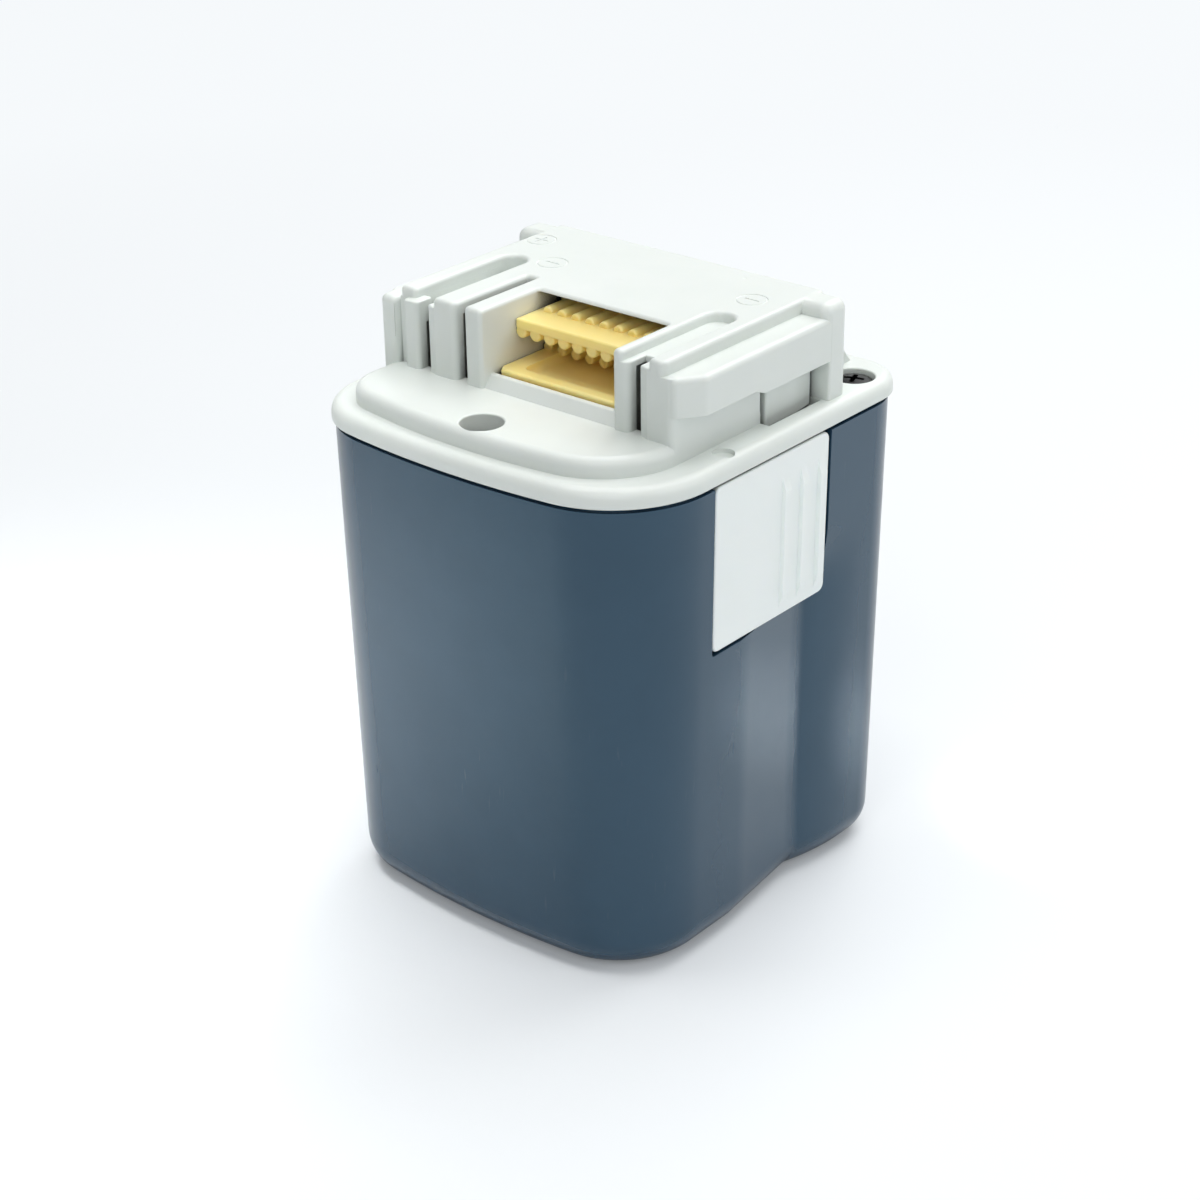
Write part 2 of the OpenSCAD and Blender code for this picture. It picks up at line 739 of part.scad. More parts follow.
module terminal_positive() clip(SLOTS[0]);

module terminal_negative() clip(SLOTS[1]);

module terminal_charge() clip(SLOTS[2]);

module circuit_board() {
    color([0.12, 0.36, 0.2])
    union() {
        span([-board_x, board_y0, board_z0], [board_x, board_step, board_z1]);
        span([-board_x2, board_step - lap, board_z0], [board_x2, board_y1, board_z1]);
    }
}

chip_w = 8;
chip_t = 1.6;
chip_y1 = board_y1 - 3;
module control_chip() {
    color([0.08, 0.08, 0.09])
    span([-chip_w / 2, chip_y1 - chip_w, board_z1], [chip_w / 2, chip_y1, board_z1 + chip_t]);
}

// temperature sensor against the middle cell, with its flat lead up to the board
sensor_y = mid_y + cell_r + 0.05;
sensor_size = [4, 2.2, 8];
sensor_z = mid_strap_z - 2;
lead_size = [1.6, 0.8];
module thermistor() {
    color([0.75, 0.5, 0.2])
    translate([-sensor_size[0] / 2, sensor_y, sensor_z]) cube(sensor_size);
}

module sensor_lead() {
    y0 = sensor_y + (sensor_size[1] - lead_size[1]) / 2;
    x1 = lead_size[0] / 2;
    color([0.85, 0.85, 0.8])
    span([-x1, y0, sensor_z + sensor_size[2]], [x1, y0 + lead_size[1], board_z0]);
}

// cell k of the lower layer, then of the upper one, with its button at the top or the bottom
module cell(k) {
    n = len(STICKS);
    s = STICKS[k % n];
    z = k < n ? low_cell_z : high_cell_z;
    edge = 0.8;
    h = cell_l - cell_button_h;
    color([0.17, 0.43, 0.31])
    translate([s[0], s[1], s[2] ? z : z + cell_l])
        rotate([s[2] ? 0 : 180, 0, 0])
            rotate_extrude()
                polygon([[0, 0], [cell_r - edge, 0], [cell_r, edge], [cell_r, h - edge], [cell_r - edge, h],
                         [cell_button_d / 2, h], [cell_button_d / 2, cell_l], [0, cell_l]]);
}

module cell_1() cell(0);

module cell_2() cell(1);

module cell_3() cell(2);

module cell_4() cell(3);

module cell_5() cell(4);

module cell_6() cell(5);

module cell_7() cell(6);

module cell_8() cell(7);

module cell_9() cell(8);

module cell_10() cell(9);

// flat strap between two sticks
module strap(p, q, z) {
    d = [q[0] - p[0], q[1] - p[1]];
    translate([p[0], p[1], z])
        rotate([0, 0, atan2(d[1], d[0])])
            translate([-strap_w / 2, -strap_w / 2, 0]) cube([norm(d) + strap_w, strap_w, strap_t]);
}

module bottom_straps() {
    color([0.75, 0.76, 0.77]) {
        strap(STICKS[0], STICKS[1], low_strap_z);
        strap(STICKS[2], STICKS[3], low_strap_z);
    }
}

module stick_joints() {
    color([0.75, 0.76, 0.77])
    for (s = STICKS)
        rod(s[0], s[1], mid_strap_z, mid_strap_z + strap_t, cell_button_d - 1);
}

module top_straps() {
    color([0.75, 0.76, 0.77]) {
        strap(STICKS[1], STICKS[2], top_strap_z);
        strap(STICKS[3], STICKS[4], top_strap_z);
    }
}

// tab on the first stick, turned up to the board
tab_w = 6;
tab_y = board_y0 + 1.5;
module positive_lead() {
    s = STICKS[0];
    x0 = s[0] - tab_w / 2;
    color([0.75, 0.76, 0.77]) {
        span([x0, s[1] - tab_w / 2, top_strap_z], [x0 + tab_w, tab_y, top_strap_z + strap_t]);
        span([x0, tab_y - strap_t, top_strap_z], [x0 + tab_w, tab_y, board_z0]);
    }
}

// strap from the foot of the last stick, up the rear wall and over the lid to the board
run_w = 4;
run_y = half_d - wall - 0.3;
module negative_lead() {
    s = STICKS[4];
    x0 = -run_w / 2;
    x1 = s[0] + tab_w / 2;
    cross_y = run_y - run_w;
    over_z = lid_z + pad_t;
    end_y = board_y1 - 2;
    color([0.75, 0.76, 0.77]) {
        span([x1 - tab_w, s[1] - tab_w / 2, low_strap_z], [x1, cross_y, low_strap_z + strap_t]);
        span([x0, cross_y - 2, low_strap_z], [x1, cross_y, low_strap_z + strap_t]);
        span([x0, cross_y - 2, low_strap_z], [x0 + run_w, run_y, low_strap_z + strap_t]);
        span([x0, run_y - strap_t, low_strap_z], [x0 + run_w, run_y, over_z + strap_t]);
        span([x0, end_y, over_z], [x0 + run_w, run_y, over_z + strap_t]);
        span([x0, end_y, over_z], [x0 + run_w, end_y + strap_t, board_z0]);
    }
}

// gap round a pad, and round what passes through one
pad_gap = 0.4;
pass_gap = 0.3;

module bottom_pad() {
    color([0.8, 0.78, 0.7])
    difference() {
        translate([0, 0, pad_z])
            linear_extrude(pad_t) polygon(case_plan(wall + pad_gap, 1));
        for (s = SCREWS)
            rod(s[0], s[1], 0, case_h, boss_d + 2 * pass_gap);
    }
}

// insulating ring round the joint of each stick
ring_gap = 0.05;
ring_d = cell_d - 2;
module stick_rings() {
    h = cell_button_h + strap_t - 2 * ring_gap;
    color([0.9, 0.88, 0.82])
    for (s = STICKS)
        translate([s[0], s[1], mid_strap_z + ring_gap - (s[2] ? cell_button_h : 0)])
            difference() {
                cylinder(d = ring_d, h = h);
                translate([0, 0, -lap]) cylinder(d = cell_button_d + 2 * pass_gap, h = h + 2 * lap);
            }
}

module top_insulator() {
    s = STICKS[0];
    tab_x = tab_w / 2 + pass_gap;
    lead_y = sensor_y + sensor_size[1] / 2;
    lead_x = lead_size[0] / 2 + pass_gap;
    run_x = run_w / 2 + pass_gap;
    color([0.9, 0.88, 0.82])
    difference() {
        translate([0, 0, lid_z])
            linear_extrude(pad_t) polygon(case_plan(wall + 1.5 * pad_gap, 1));
        for (p = SCREWS)
            rod(p[0], p[1], 0, case_h, boss_d + 2 * pass_gap);
        // ways through for the stems, the tab, the sensor lead and the strap up the rear wall
        both_sides()
            span([stem_x0 - travel - 2 * pad_gap, button_y0 - lap, 0], [half_w, button_y1 + lap, case_h]);
        span([s[0] - tab_x, tab_y - strap_t - pass_gap, 0], [s[0] + tab_x, tab_y + pass_gap, case_h]);
        span([-lead_x, lead_y - lead_x, 0], [lead_x, lead_y + lead_x, case_h]);
        span([-run_x, run_y - strap_t - pass_gap, 0], [run_x, half_d, case_h]);
    }
}

case();
cover();
cover_screws();
release_button_right();
release_button_left();
latch_spring_right();
latch_spring_left();
connector_housing();
connector_contacts();
terminal_positive();
terminal_negative();
terminal_charge();
circuit_board();
control_chip();
thermistor();
sensor_lead();
cell_1();
cell_2();
cell_3();
cell_4();
cell_5();
cell_6();
cell_7();
cell_8();
cell_9();
cell_10();
bottom_straps();
stick_joints();
top_straps();
positive_lead();
negative_lead();
bottom_pad();
stick_rings();
top_insulator();
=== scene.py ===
"""Looks of a slide-on tool battery pack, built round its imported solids.

Sizes are in millimetres in the pack's own frame: +Z up, front towards -Y.
"""

import logging
import math
from collections.abc import Callable, Sequence
from dataclasses import dataclass, replace
from enum import Enum

import bmesh
import bpy
from mathutils import Matrix, Vector


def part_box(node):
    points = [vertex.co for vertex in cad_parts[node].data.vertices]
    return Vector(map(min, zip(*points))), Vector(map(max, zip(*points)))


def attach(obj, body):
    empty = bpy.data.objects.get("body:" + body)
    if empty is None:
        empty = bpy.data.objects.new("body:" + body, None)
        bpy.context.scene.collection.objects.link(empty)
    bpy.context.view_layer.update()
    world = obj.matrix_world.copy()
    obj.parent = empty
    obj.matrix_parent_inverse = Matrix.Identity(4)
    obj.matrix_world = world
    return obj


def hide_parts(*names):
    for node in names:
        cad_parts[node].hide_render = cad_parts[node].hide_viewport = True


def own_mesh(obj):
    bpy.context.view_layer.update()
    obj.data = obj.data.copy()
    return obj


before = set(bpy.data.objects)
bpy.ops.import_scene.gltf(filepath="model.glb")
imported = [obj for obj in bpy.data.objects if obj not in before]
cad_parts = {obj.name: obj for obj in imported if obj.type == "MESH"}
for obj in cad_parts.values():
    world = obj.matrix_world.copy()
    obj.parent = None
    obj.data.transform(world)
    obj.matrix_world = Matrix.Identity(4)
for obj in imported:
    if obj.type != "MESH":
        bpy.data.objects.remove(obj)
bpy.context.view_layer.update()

# One millimetre in metres
MM = 0.001
# Number of stretches in the larger roundings
FINE = 6
# Whole range of a pattern
FULL = (0.0, 1.0)
# Angles of a quarter turn in radians
QUARTER = [math.pi / 2 * k / 4 for k in range(5)]
# Gap in millimetres between a button and the notch in the case
NOTCH_GAP = 0.3
# Point in metres that the camera faces
VIEW_AIM = (0.0, 0.0, 0.03895)
log = logging.getLogger("battery_pack")

Point = tuple[float, float]
Place = tuple[float, float, float]
Colour = tuple[float, float, float]


class Body(Enum):
    """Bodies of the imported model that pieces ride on."""

    PACK = "pack"
    BUTTON_RIGHT = "button_right"
    BUTTON_LEFT = "button_left"


class Axis(Enum):
    """Direction in which a flat outline is drawn out."""

    X = "x"
    Y = "y"
    Z = "z"

    def place(self, u: float, v: float, w: float) -> Place:
        """Turns outline coordinates u, v and a height w into a place.

        Args:
            u: First coordinate of the outline.
            v: Second coordinate of the outline.
            w: Height along the axis.

        Returns:
            The place.
        """
        if self is Axis.X:
            return (w, u, v)
        if self is Axis.Y:
            return (u, w, v)
        return (u, v, w)


class Side(Enum):
    """The two flanks of the pack."""

    RIGHT = 1
    LEFT = -1

    @property
    def label(self) -> str:
        """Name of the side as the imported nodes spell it."""
        return self.name.lower()


class Sign(Enum):
    """Sign sunk in the top beside a terminal."""

    PLUS = "plus"
    MINUS = "minus"


def node_box(node: str) -> tuple[Vector, Vector]:
    """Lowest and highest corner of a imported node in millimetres.

    Args:
        node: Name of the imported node.

    Returns:
        The two corners.
    """
    low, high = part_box(node)
    return low / MM, high / MM


def arc(centre: Point, radius: float, start: float, end: float, steps: int) -> list[Point]:
    """Points on an arc.

    Args:
        centre: Middle of the arc.
        radius: Radius of the arc.
        start: First angle in degrees.
        end: Last angle in degrees.
        steps: Number of stretches.

    Returns:
        The points, both ends included.
    """
    angles = [math.radians(start + (end - start) * k / steps) for k in range(steps + 1)]
    return [(centre[0] + radius * math.cos(t), centre[1] + radius * math.sin(t)) for t in angles]


def rounded(corners: Sequence[Sequence[float]], steps: int = 5) -> list[Point]:
    """Outline through corners, with an arc wherever a corner gives a radius.

    Args:
        corners: Corners as (x, y) or (x, y, radius), in order round the outline.
        steps: Number of stretches in each arc.

    Returns:
        The points of the outline.
    """
    outline: list[Point] = []
    for i, corner in enumerate(corners):
        tip = Vector(corner[:2])
        if len(corner) < 3:
            outline.append((tip.x, tip.y))
            continue
        radius = corner[2]
        back = (Vector(corners[i - 1][:2]) - tip).normalized()
        ahead = (Vector(corners[(i + 1) % len(corners)][:2]) - tip).normalized()
        half = back.angle(ahead) / 2
        reach = radius / math.tan(half)
        centre = tip + (back + ahead).normalized() * (radius / math.sin(half))
        first, last = tip + back * reach - centre, tip + ahead * reach - centre
        start = math.degrees(math.atan2(first.y, first.x))
        turn = math.degrees(math.atan2(last.y, last.x)) - start
        turn = (turn + 180) % 360 - 180
        outline += arc((centre.x, centre.y), radius, start, start + turn, steps)
    return outline


def inset(outline: Sequence[Point], distance: float) -> list[Point]:
    """Outline moved inwards by a distance, with mitred corners.

    Args:
        outline: Points of a closed outline.
        distance: How far to move it in.

    Returns:
        The moved points, one for each point of the outline.
    """
    count = len(outline)
    pairs = [(outline[k - 1], outline[k]) for k in range(count)]
    turn = math.copysign(1, sum(a[0] * b[1] - b[0] * a[1] for a, b in pairs))
    moved: list[Point] = []
    for k, point in enumerate(outline):
        here = Vector(point)
        along = (here - Vector(outline[k - 1])).normalized()
        onward = (Vector(outline[(k + 1) % count]) - here).normalized()
        side, next_side = turn * Vector((-along.y, along.x)), turn * Vector((-onward.y, onward.x))
        shift = (side + next_side) / (1 + side.dot(next_side))
        moved.append((here.x + shift.x * distance, here.y + shift.y * distance))
    return moved


def box_outline(low: Point, high: Point, radius: float) -> list[Point]:
    """Outline of a rectangle with round corners.

    Args:
        low: Lowest corner.
        high: Highest corner.
        radius: Radius of the corners, or 0.

    Returns:
        The points.
    """
    corners = [(low[0], low[1]), (high[0], low[1]), (high[0], high[1]), (low[0], high[1])]
    return rounded([(x, y, radius) for x, y in corners]) if radius else corners


def tidy(outline: Sequence[Point]) -> list[Point]:
    """Outline without points that repeat the one before."""
    return [p for k, p in enumerate(outline) if math.dist(p, outline[k - 1]) > 1e-6]


def mesh_object(name: str, points: Sequence[Place], faces: Sequence[Sequence[int]]) -> bpy.types.Object:
    """Makes an object from points in millimetres.

    Args:
        name: Name of the object.
        points: Places of the points.
        faces: Point numbers of each face.

    Returns:
        The object, linked to the scene, with its faces turned outwards.
    """
    mesh = bpy.data.meshes.new(name)
    mesh.from_pydata([Vector(p) * MM for p in points], [], faces)
    work = bmesh.new()
    work.from_mesh(mesh)
    bmesh.ops.remove_doubles(work, verts=work.verts, dist=MM * 1e-4)
    bmesh.ops.recalc_face_normals(work, faces=work.faces)
    work.to_mesh(mesh)
    work.free()
    piece = bpy.data.objects.new(name, mesh)
    bpy.context.scene.collection.objects.link(piece)
    return piece


def skin(name: str, rings: Sequence[Sequence[Place]], closed: bool = False) -> bpy.types.Object:
    """Makes a solid from a stack of rings of equal length.

    Args:
        name: Name of the object.
        rings: Rings of places, each with the same number of points.
        closed: Joins the last ring to the first one, in place of end caps.

    Returns:
        The object.
    """
    count = len(rings[0])
    points = [p for ring in rings for p in ring]
    last = len(rings) if closed else len(rings) - 1
    faces: list[Sequence[int]] = []
    for j in range(last):
        low, high = j * count, (j + 1) % len(rings) * count
        faces += [(low + k, low + (k + 1) % count, high + (k + 1) % count, high + k) for k in range(count)]
    if not closed:
        faces += [range(count), range(last * count, (last + 1) * count)]
    return mesh_object(name, points, faces)


def prism(
    outline: Sequence[Point],
    low: float,
    high: float,
    top: float = 0.0,
    bottom: float = 0.0,
    axis: Axis = Axis.Z,
    steps: int = 4,
) -> bpy.types.Object:
    """Draws an outline out into a solid with rounded end edges.

    Args:
        outline: Points of the outline.
        low: Start along the axis.
        high: End along the axis.
        top: Rounding of the edge at the end.
        bottom: Rounding of the edge at the start.
        axis: Direction to draw along.
        steps: Number of stretches in a rounding.

    Returns:
        The object.
    """
    quarter = [math.pi / 2 * k / steps for k in range(steps + 1)]
    levels = [(low + bottom * (1 - math.cos(t)), bottom * (1 - math.sin(t))) for t in quarter]
    levels = levels if bottom else levels[-1:]
    above = [(high - top * (1 - math.sin(t)), top * (1 - math.cos(t))) for t in quarter]
    levels += above if top else above[:1]
    rings = [[axis.place(u, v, w) for u, v in inset(outline, d)] for w, d in levels]
    return skin("prism", rings)


def block(low: Place, high: Place, radius: float = 0.0, axis: Axis = Axis.Z) -> bpy.types.Object:
    """Makes a box whose edges are rounded by one radius.

    Args:
        low: Lowest corner.
        high: Highest corner.
        radius: Rounding of every edge.
        axis: Direction to draw along.

    Returns:
        The object.
    """
    u, v, w = {Axis.X: (1, 2, 0), Axis.Y: (0, 2, 1), Axis.Z: (0, 1, 2)}[axis]
    outline = box_outline((low[u], low[v]), (high[u], high[v]), radius)
    return prism(outline, low[w], high[w], radius, radius, axis)


def turned(
    profile: Sequence[Point], centre: Point, axis: Axis = Axis.Z, steps: int = 40
) -> bpy.types.Object:
    """Turns a profile round an axis.

    Args:
        profile: Points as (radius, height), from one end to the other.
        centre: Where the axis is, in outline coordinates.
        axis: Direction of the axis.
        steps: Number of stretches round it.

    Returns:
        The object.
    """
    rings = [[axis.place(u, v, w) for u, v in arc(centre, r, 0, 360, steps)[:-1]] for r, w in profile]
    return skin("turned", rings)


def rod(centre: Point, radius: float, low: float, high: float, axis: Axis, edge: float) -> bpy.types.Object:
    """Makes a round bar with rounded ends.

    Args:
        centre: Where its axis is, in outline coordinates.
        radius: Radius of the bar.
        low: Start along the axis.
        high: End along the axis.
        axis: Direction of the bar.
        edge: Rounding of its ends.

    Returns:
        The object.
    """
    start = [(radius - edge + edge * math.sin(t), low + edge - edge * math.cos(t)) for t in QUARTER]
    end = [(radius - edge + edge * math.cos(t), high - edge + edge * math.sin(t)) for t in QUARTER]
    return turned(start + end, centre, axis, 24)


def combine(base: bpy.types.Object, others: Sequence[bpy.types.Object], operation: str) -> bpy.types.Object:
    """Adds solids to a solid, or takes them away, and deletes them.

    Args:
        base: Solid that is changed.
        others: Solids that are added or taken away.
        operation: UNION or DIFFERENCE.

    Returns:
        The changed solid.
    """
    for other in others:
        step = base.modifiers.new("combine", "BOOLEAN")
        step.operation = operation
        step.solver = "MANIFOLD"
        step.object = other
        shown = base.evaluated_get(bpy.context.evaluated_depsgraph_get())
        mesh = bpy.data.meshes.new_from_object(shown)
        base.modifiers.clear()
        old, base.data = base.data, mesh
        bpy.data.meshes.remove(old)
        bpy.data.meshes.remove(other.data)
    return base


def joined(parts: Sequence[bpy.types.Object]) -> bpy.types.Object:
    """Joins solids that overlap into one."""
    return combine(parts[0], parts[1:], "UNION")


def flipped(part: bpy.types.Object) -> bpy.types.Object:
    """Turns a solid into its mirror image on the other flank.

    Args:
        part: Solid to mirror.

    Returns:
        The same object, mirrored.
    """
    part.data.transform(Matrix.Diagonal((-1, 1, 1, 1)))
    part.data.flip_normals()
    return part


def mirrored(part: bpy.types.Object) -> bpy.types.Object:
    """Mirror image of a solid on the other flank, beside the solid itself.

    Args:
        part: Solid that stays.

    Returns:
        The mirrored copy.
    """
    copy = bpy.data.objects.new(part.name, part.data.copy())
    bpy.context.scene.collection.objects.link(copy)
    return flipped(copy)


def both(make: Callable[[], bpy.types.Object]) -> list[bpy.types.Object]:
    """A solid on the right and its mirror image on the left."""
    right = make()
    return [right, mirrored(right)]


class Nodes:
    """A material's node tree, filled node by node."""

    def __init__(self, name: str) -> None:
        """Starts a material with a shader and coordinates in metres.

        Args:
            name: Name of the material.
        """
        self.material = bpy.data.materials.new(name)
        self.material.use_nodes = True
        self.tree = self.material.node_tree
        self.shader = self.tree.nodes["Principled BSDF"]
        self.where = self.tree.nodes.new("ShaderNodeTexCoord").outputs["Object"]

    def link(self, source: bpy.types.NodeSocket, target: bpy.types.NodeSocket) -> None:
        """Joins two sockets."""
        self.tree.links.new(source, target)

    def noise(self, per_mm: Place | float, detail: float = 3.0) -> bpy.types.NodeSocket:
        """Cloudy pattern.

        Args:
            per_mm: Number of clouds in a millimetre, the same all ways or along X, Y and Z.
            detail: Number of finer layers.

        Returns:
            The pattern's value, about 0.5 in the middle.
        """
        scale = per_mm if isinstance(per_mm, tuple) else (per_mm,) * 3
        stretch = self.tree.nodes.new("ShaderNodeMapping")
        stretch.inputs["Scale"].default_value = Vector(scale) / MM
        self.link(self.where, stretch.inputs["Vector"])
        pattern = self.tree.nodes.new("ShaderNodeTexNoise")
        pattern.inputs["Scale"].default_value = 1.0
        pattern.inputs["Detail"].default_value = detail
        self.link(stretch.outputs["Vector"], pattern.inputs["Vector"])
        return pattern.outputs["Fac"]

    def remap(self, value: bpy.types.NodeSocket, source: Point, target: Point) -> bpy.types.NodeSocket:
        """Maps a stretch of values onto another, clamped at its ends.

        Args:
            value: Pattern to map.
            source: Ends of the stretch that it comes from.
            target: Ends of the stretch that it goes to.

        Returns:
            The mapped pattern.
        """
        step = self.tree.nodes.new("ShaderNodeMapRange")
        names = ("From Min", "From Max", "To Min", "To Max")
        for name, number in zip(names, (*source, *target), strict=True):
            step.inputs[name].default_value = number
        self.link(value, step.inputs["Value"])
        return step.outputs["Result"]

    def openness(self, reach: float) -> bpy.types.NodeSocket:
        """How open the surroundings of a point are within a reach in millimetres, from 0 to 1.

        Args:
            reach: Farthest distance that counts.

        Returns:
            The pattern.
        """
        step = self.tree.nodes.new("ShaderNodeAmbientOcclusion")
        step.samples = 12
        step.inputs["Distance"].default_value = reach * MM
        return step.outputs["AO"]

    def times(self, a: bpy.types.NodeSocket, b: bpy.types.NodeSocket) -> bpy.types.NodeSocket:
        """Product of two patterns.

        Args:
            a: First pattern.
            b: Second pattern.

        Returns:
            The product.
        """
        step = self.tree.nodes.new("ShaderNodeMath")
        step.operation = "MULTIPLY"
        self.link(a, step.inputs[0])
        self.link(b, step.inputs[1])
        return step.outputs[0]

    def tint(
        self, share: bpy.types.NodeSocket, first: Colour | bpy.types.NodeSocket, second: Colour
    ) -> bpy.types.NodeSocket:
        """Colour that goes from one to another with a pattern.

        Args:
            share: Pattern from 0 to 1.
            first: Colour, or a colour socket, where the pattern is 0.
            second: Colour where it is 1.

        Returns:
            The colour.
        """
        mix = self.tree.nodes.new("ShaderNodeMix")
        mix.data_type = "RGBA"
        self.link(share, mix.inputs["Factor"])
        if isinstance(first, tuple):
            mix.inputs["A"].default_value = (*first, 1)
        else:
            self.link(first, mix.inputs["A"])
        mix.inputs["B"].default_value = (*second, 1)
        return mix.outputs["Result"]

    def bump(self, height: bpy.types.NodeSocket, depth: float, strength: float = 1.0) -> None:
        """Roughens the surface.

        Args:
            height: Pattern of heights from 0 to 1.
            depth: Depth of the pattern in millimetres.
            strength: Share of the effect.
        """
        step = self.tree.nodes.new("ShaderNodeBump")
        step.inputs["Strength"].default_value = strength
        step.inputs["Distance"].default_value = depth * MM
        self.link(height, step.inputs["Height"])
        if self.shader.inputs["Normal"].links:
            self.link(self.shader.inputs["Normal"].links[0].from_socket, step.inputs["Normal"])
        self.link(step.outputs["Normal"], self.shader.inputs["Normal"])


@dataclass(frozen=True)
class Moulding:
    """Moulded plastic with a fine grain, cloudy colour, scuffs and painted shade in deep places.

    Attributes:
        name: Name of the material.
        colour: Main colour.
        cloud: Colour of the fainter clouds.
        roughness: Lowest and highest roughness.
        grain: Depth of the grain in millimetres.
        scuff: Share of the scuffs, from 0 to 1.
        glow: Share of light that passes under the surface.
        seep: How far in millimetres it passes there.
        shine: Strength of the reflection.
        gloss: Colour of the reflection.
        graze: Share of the reflection that is left at flat angles.
        crevice_shade: Reach in millimetres within which deep places get painted shade.
        cloud_scale: Clouds of colour in a millimetre.
        rough_scale: Patches of roughness in a millimetre.
        scuff_scale: Scuffs in a millimetre along X, Y and Z.
        worn_scale: Scuffed patches in a millimetre.
        grain_scale: Grains in a millimetre.
        wave_scale: Faint waves in a millimetre.
    """

    name: str
    colour: Colour
    cloud: Colour
    roughness: Point
    grain: float
    scuff: float = 0.0
    glow: float = 0.0
    seep: float = 1.0
    shine: float = 0.5
    gloss: Colour = (1.0, 1.0, 1.0)
    graze: float = 1.0
    crevice_shade: float = 0.0
    cloud_scale: float = 0.09
    rough_scale: float = 0.4
    scuff_scale: Place = (1.6, 1.6, 0.22)
    worn_scale: float = 0.06
    grain_scale: float = 4.0
    wave_scale: float = 0.25

    def material(self) -> bpy.types.Material:
        """Builds the finish.

        Returns:
            The material.
        """
        nodes = Nodes(self.name)
        clouds = nodes.remap(nodes.noise(self.cloud_scale, 4.0), (0.35, 0.65), FULL)
        colour = nodes.tint(clouds, self.colour, self.cloud)
        rough = nodes.remap(nodes.noise(self.rough_scale, 5.0), (0.3, 0.7), self.roughness)
        if self.scuff:
            streaks = nodes.remap(nodes.noise(self.scuff_scale, 2.0), (0.66, 0.76), (0.0, self.scuff))
            patches = nodes.remap(nodes.noise(self.worn_scale, 2.0), (0.52, 0.66), FULL)
            worn = nodes.times(streaks, patches)
            pale = tuple(0.6 * c + 0.08 for c in self.colour)
            colour = nodes.tint(worn, colour, pale)
        # Painted shade: places that ambient occlusion finds closed in are darkened in the base colour.
        if self.crevice_shade:
            shade_colour = tuple(0.06 * c for c in self.colour)
            shade_share = nodes.remap(nodes.openness(self.crevice_shade), (0.06, 0.30), (1.0, 0.0))
            colour = nodes.tint(shade_share, colour, shade_colour)
        nodes.link(colour, nodes.shader.inputs["Base Color"])
        nodes.link(rough, nodes.shader.inputs["Roughness"])
        nodes.shader.inputs["Specular IOR Level"].default_value = self.shine
        if self.graze < 1:
            flat = nodes.tree.nodes.new("ShaderNodeLayerWeight").outputs["Facing"]
            level = nodes.remap(flat, (0.6, 0.9), (self.shine, self.shine * self.graze))
            nodes.link(level, nodes.shader.inputs["Specular IOR Level"])
        nodes.shader.inputs["Specular Tint"].default_value = (*self.gloss, 1)
        if self.glow:
            nodes.shader.inputs["Subsurface Weight"].default_value = self.glow
            nodes.shader.inputs["Subsurface Radius"].default_value = (1.0, 0.8, 0.5)
            nodes.shader.inputs["Subsurface Scale"].default_value = self.seep * MM
        nodes.bump(nodes.noise(self.grain_scale, 2.0), self.grain)
        nodes.bump(nodes.noise(self.wave_scale, 1.0), self.grain * 2, 0.5)
        return nodes.material


@dataclass(frozen=True)
class Metal:
    """Rolled, drawn or coated metal with fine streaks.

    Attributes:
        name: Name of the material.
        colour: Colour of the metal.
        stain: Colour of its duller patches.
        roughness: Lowest and highest roughness.
        streak: Streaks in a millimetre along X, Y and Z.
        depth: Depth of the streaks in millimetres.
        metallic: Share of metallic reflection.
    """

    name: str
    colour: Colour
    stain: Colour
    roughness: Point
    streak: Place
    depth: float = 0.004
    metallic: float = 1.0

    def material(self) -> bpy.types.Material:
        """Builds the finish.

        Returns:
            The material.
        """
        nodes = Nodes(self.name)
        streaks = nodes.noise(self.streak, 3.0)
        patches = nodes.remap(nodes.noise(0.3, 4.0), (0.4, 0.7), FULL)
        nodes.link(nodes.tint(patches, self.colour, self.stain), nodes.shader.inputs["Base Color"])
        nodes.link(nodes.remap(streaks, (0.3, 0.7), self.roughness), nodes.shader.inputs["Roughness"])
        nodes.shader.inputs["Metallic"].default_value = self.metallic
        nodes.bump(streaks, self.depth)
        return nodes.material


@dataclass(frozen=True)
class Sheet:
    """Pressed fibre, coated board or shrink sleeve.

    Attributes:
        name: Name of the material.
        colour: Main colour.
        fleck: Colour of its flecks.
        roughness: Lowest and highest roughness.
        weave: Flecks in a millimetre along X, Y and Z.
        depth: Depth of the flecks in millimetres.
    """

    name: str
    colour: Colour
    fleck: Colour
    roughness: Point
    weave: Place
    depth: float

    def material(self) -> bpy.types.Material:
        """Builds the finish.

        Returns:
            The material.
        """
        nodes = Nodes(self.name)
        flecks = nodes.noise(self.weave, 4.0)
        share = nodes.remap(flecks, (0.42, 0.62), FULL)
        nodes.link(nodes.tint(share, self.colour, self.fleck), nodes.shader.inputs["Base Color"])
        nodes.link(nodes.remap(flecks, (0.3, 0.7), self.roughness), nodes.shader.inputs["Roughness"])
        nodes.bump(flecks, self.depth)
        return nodes.material


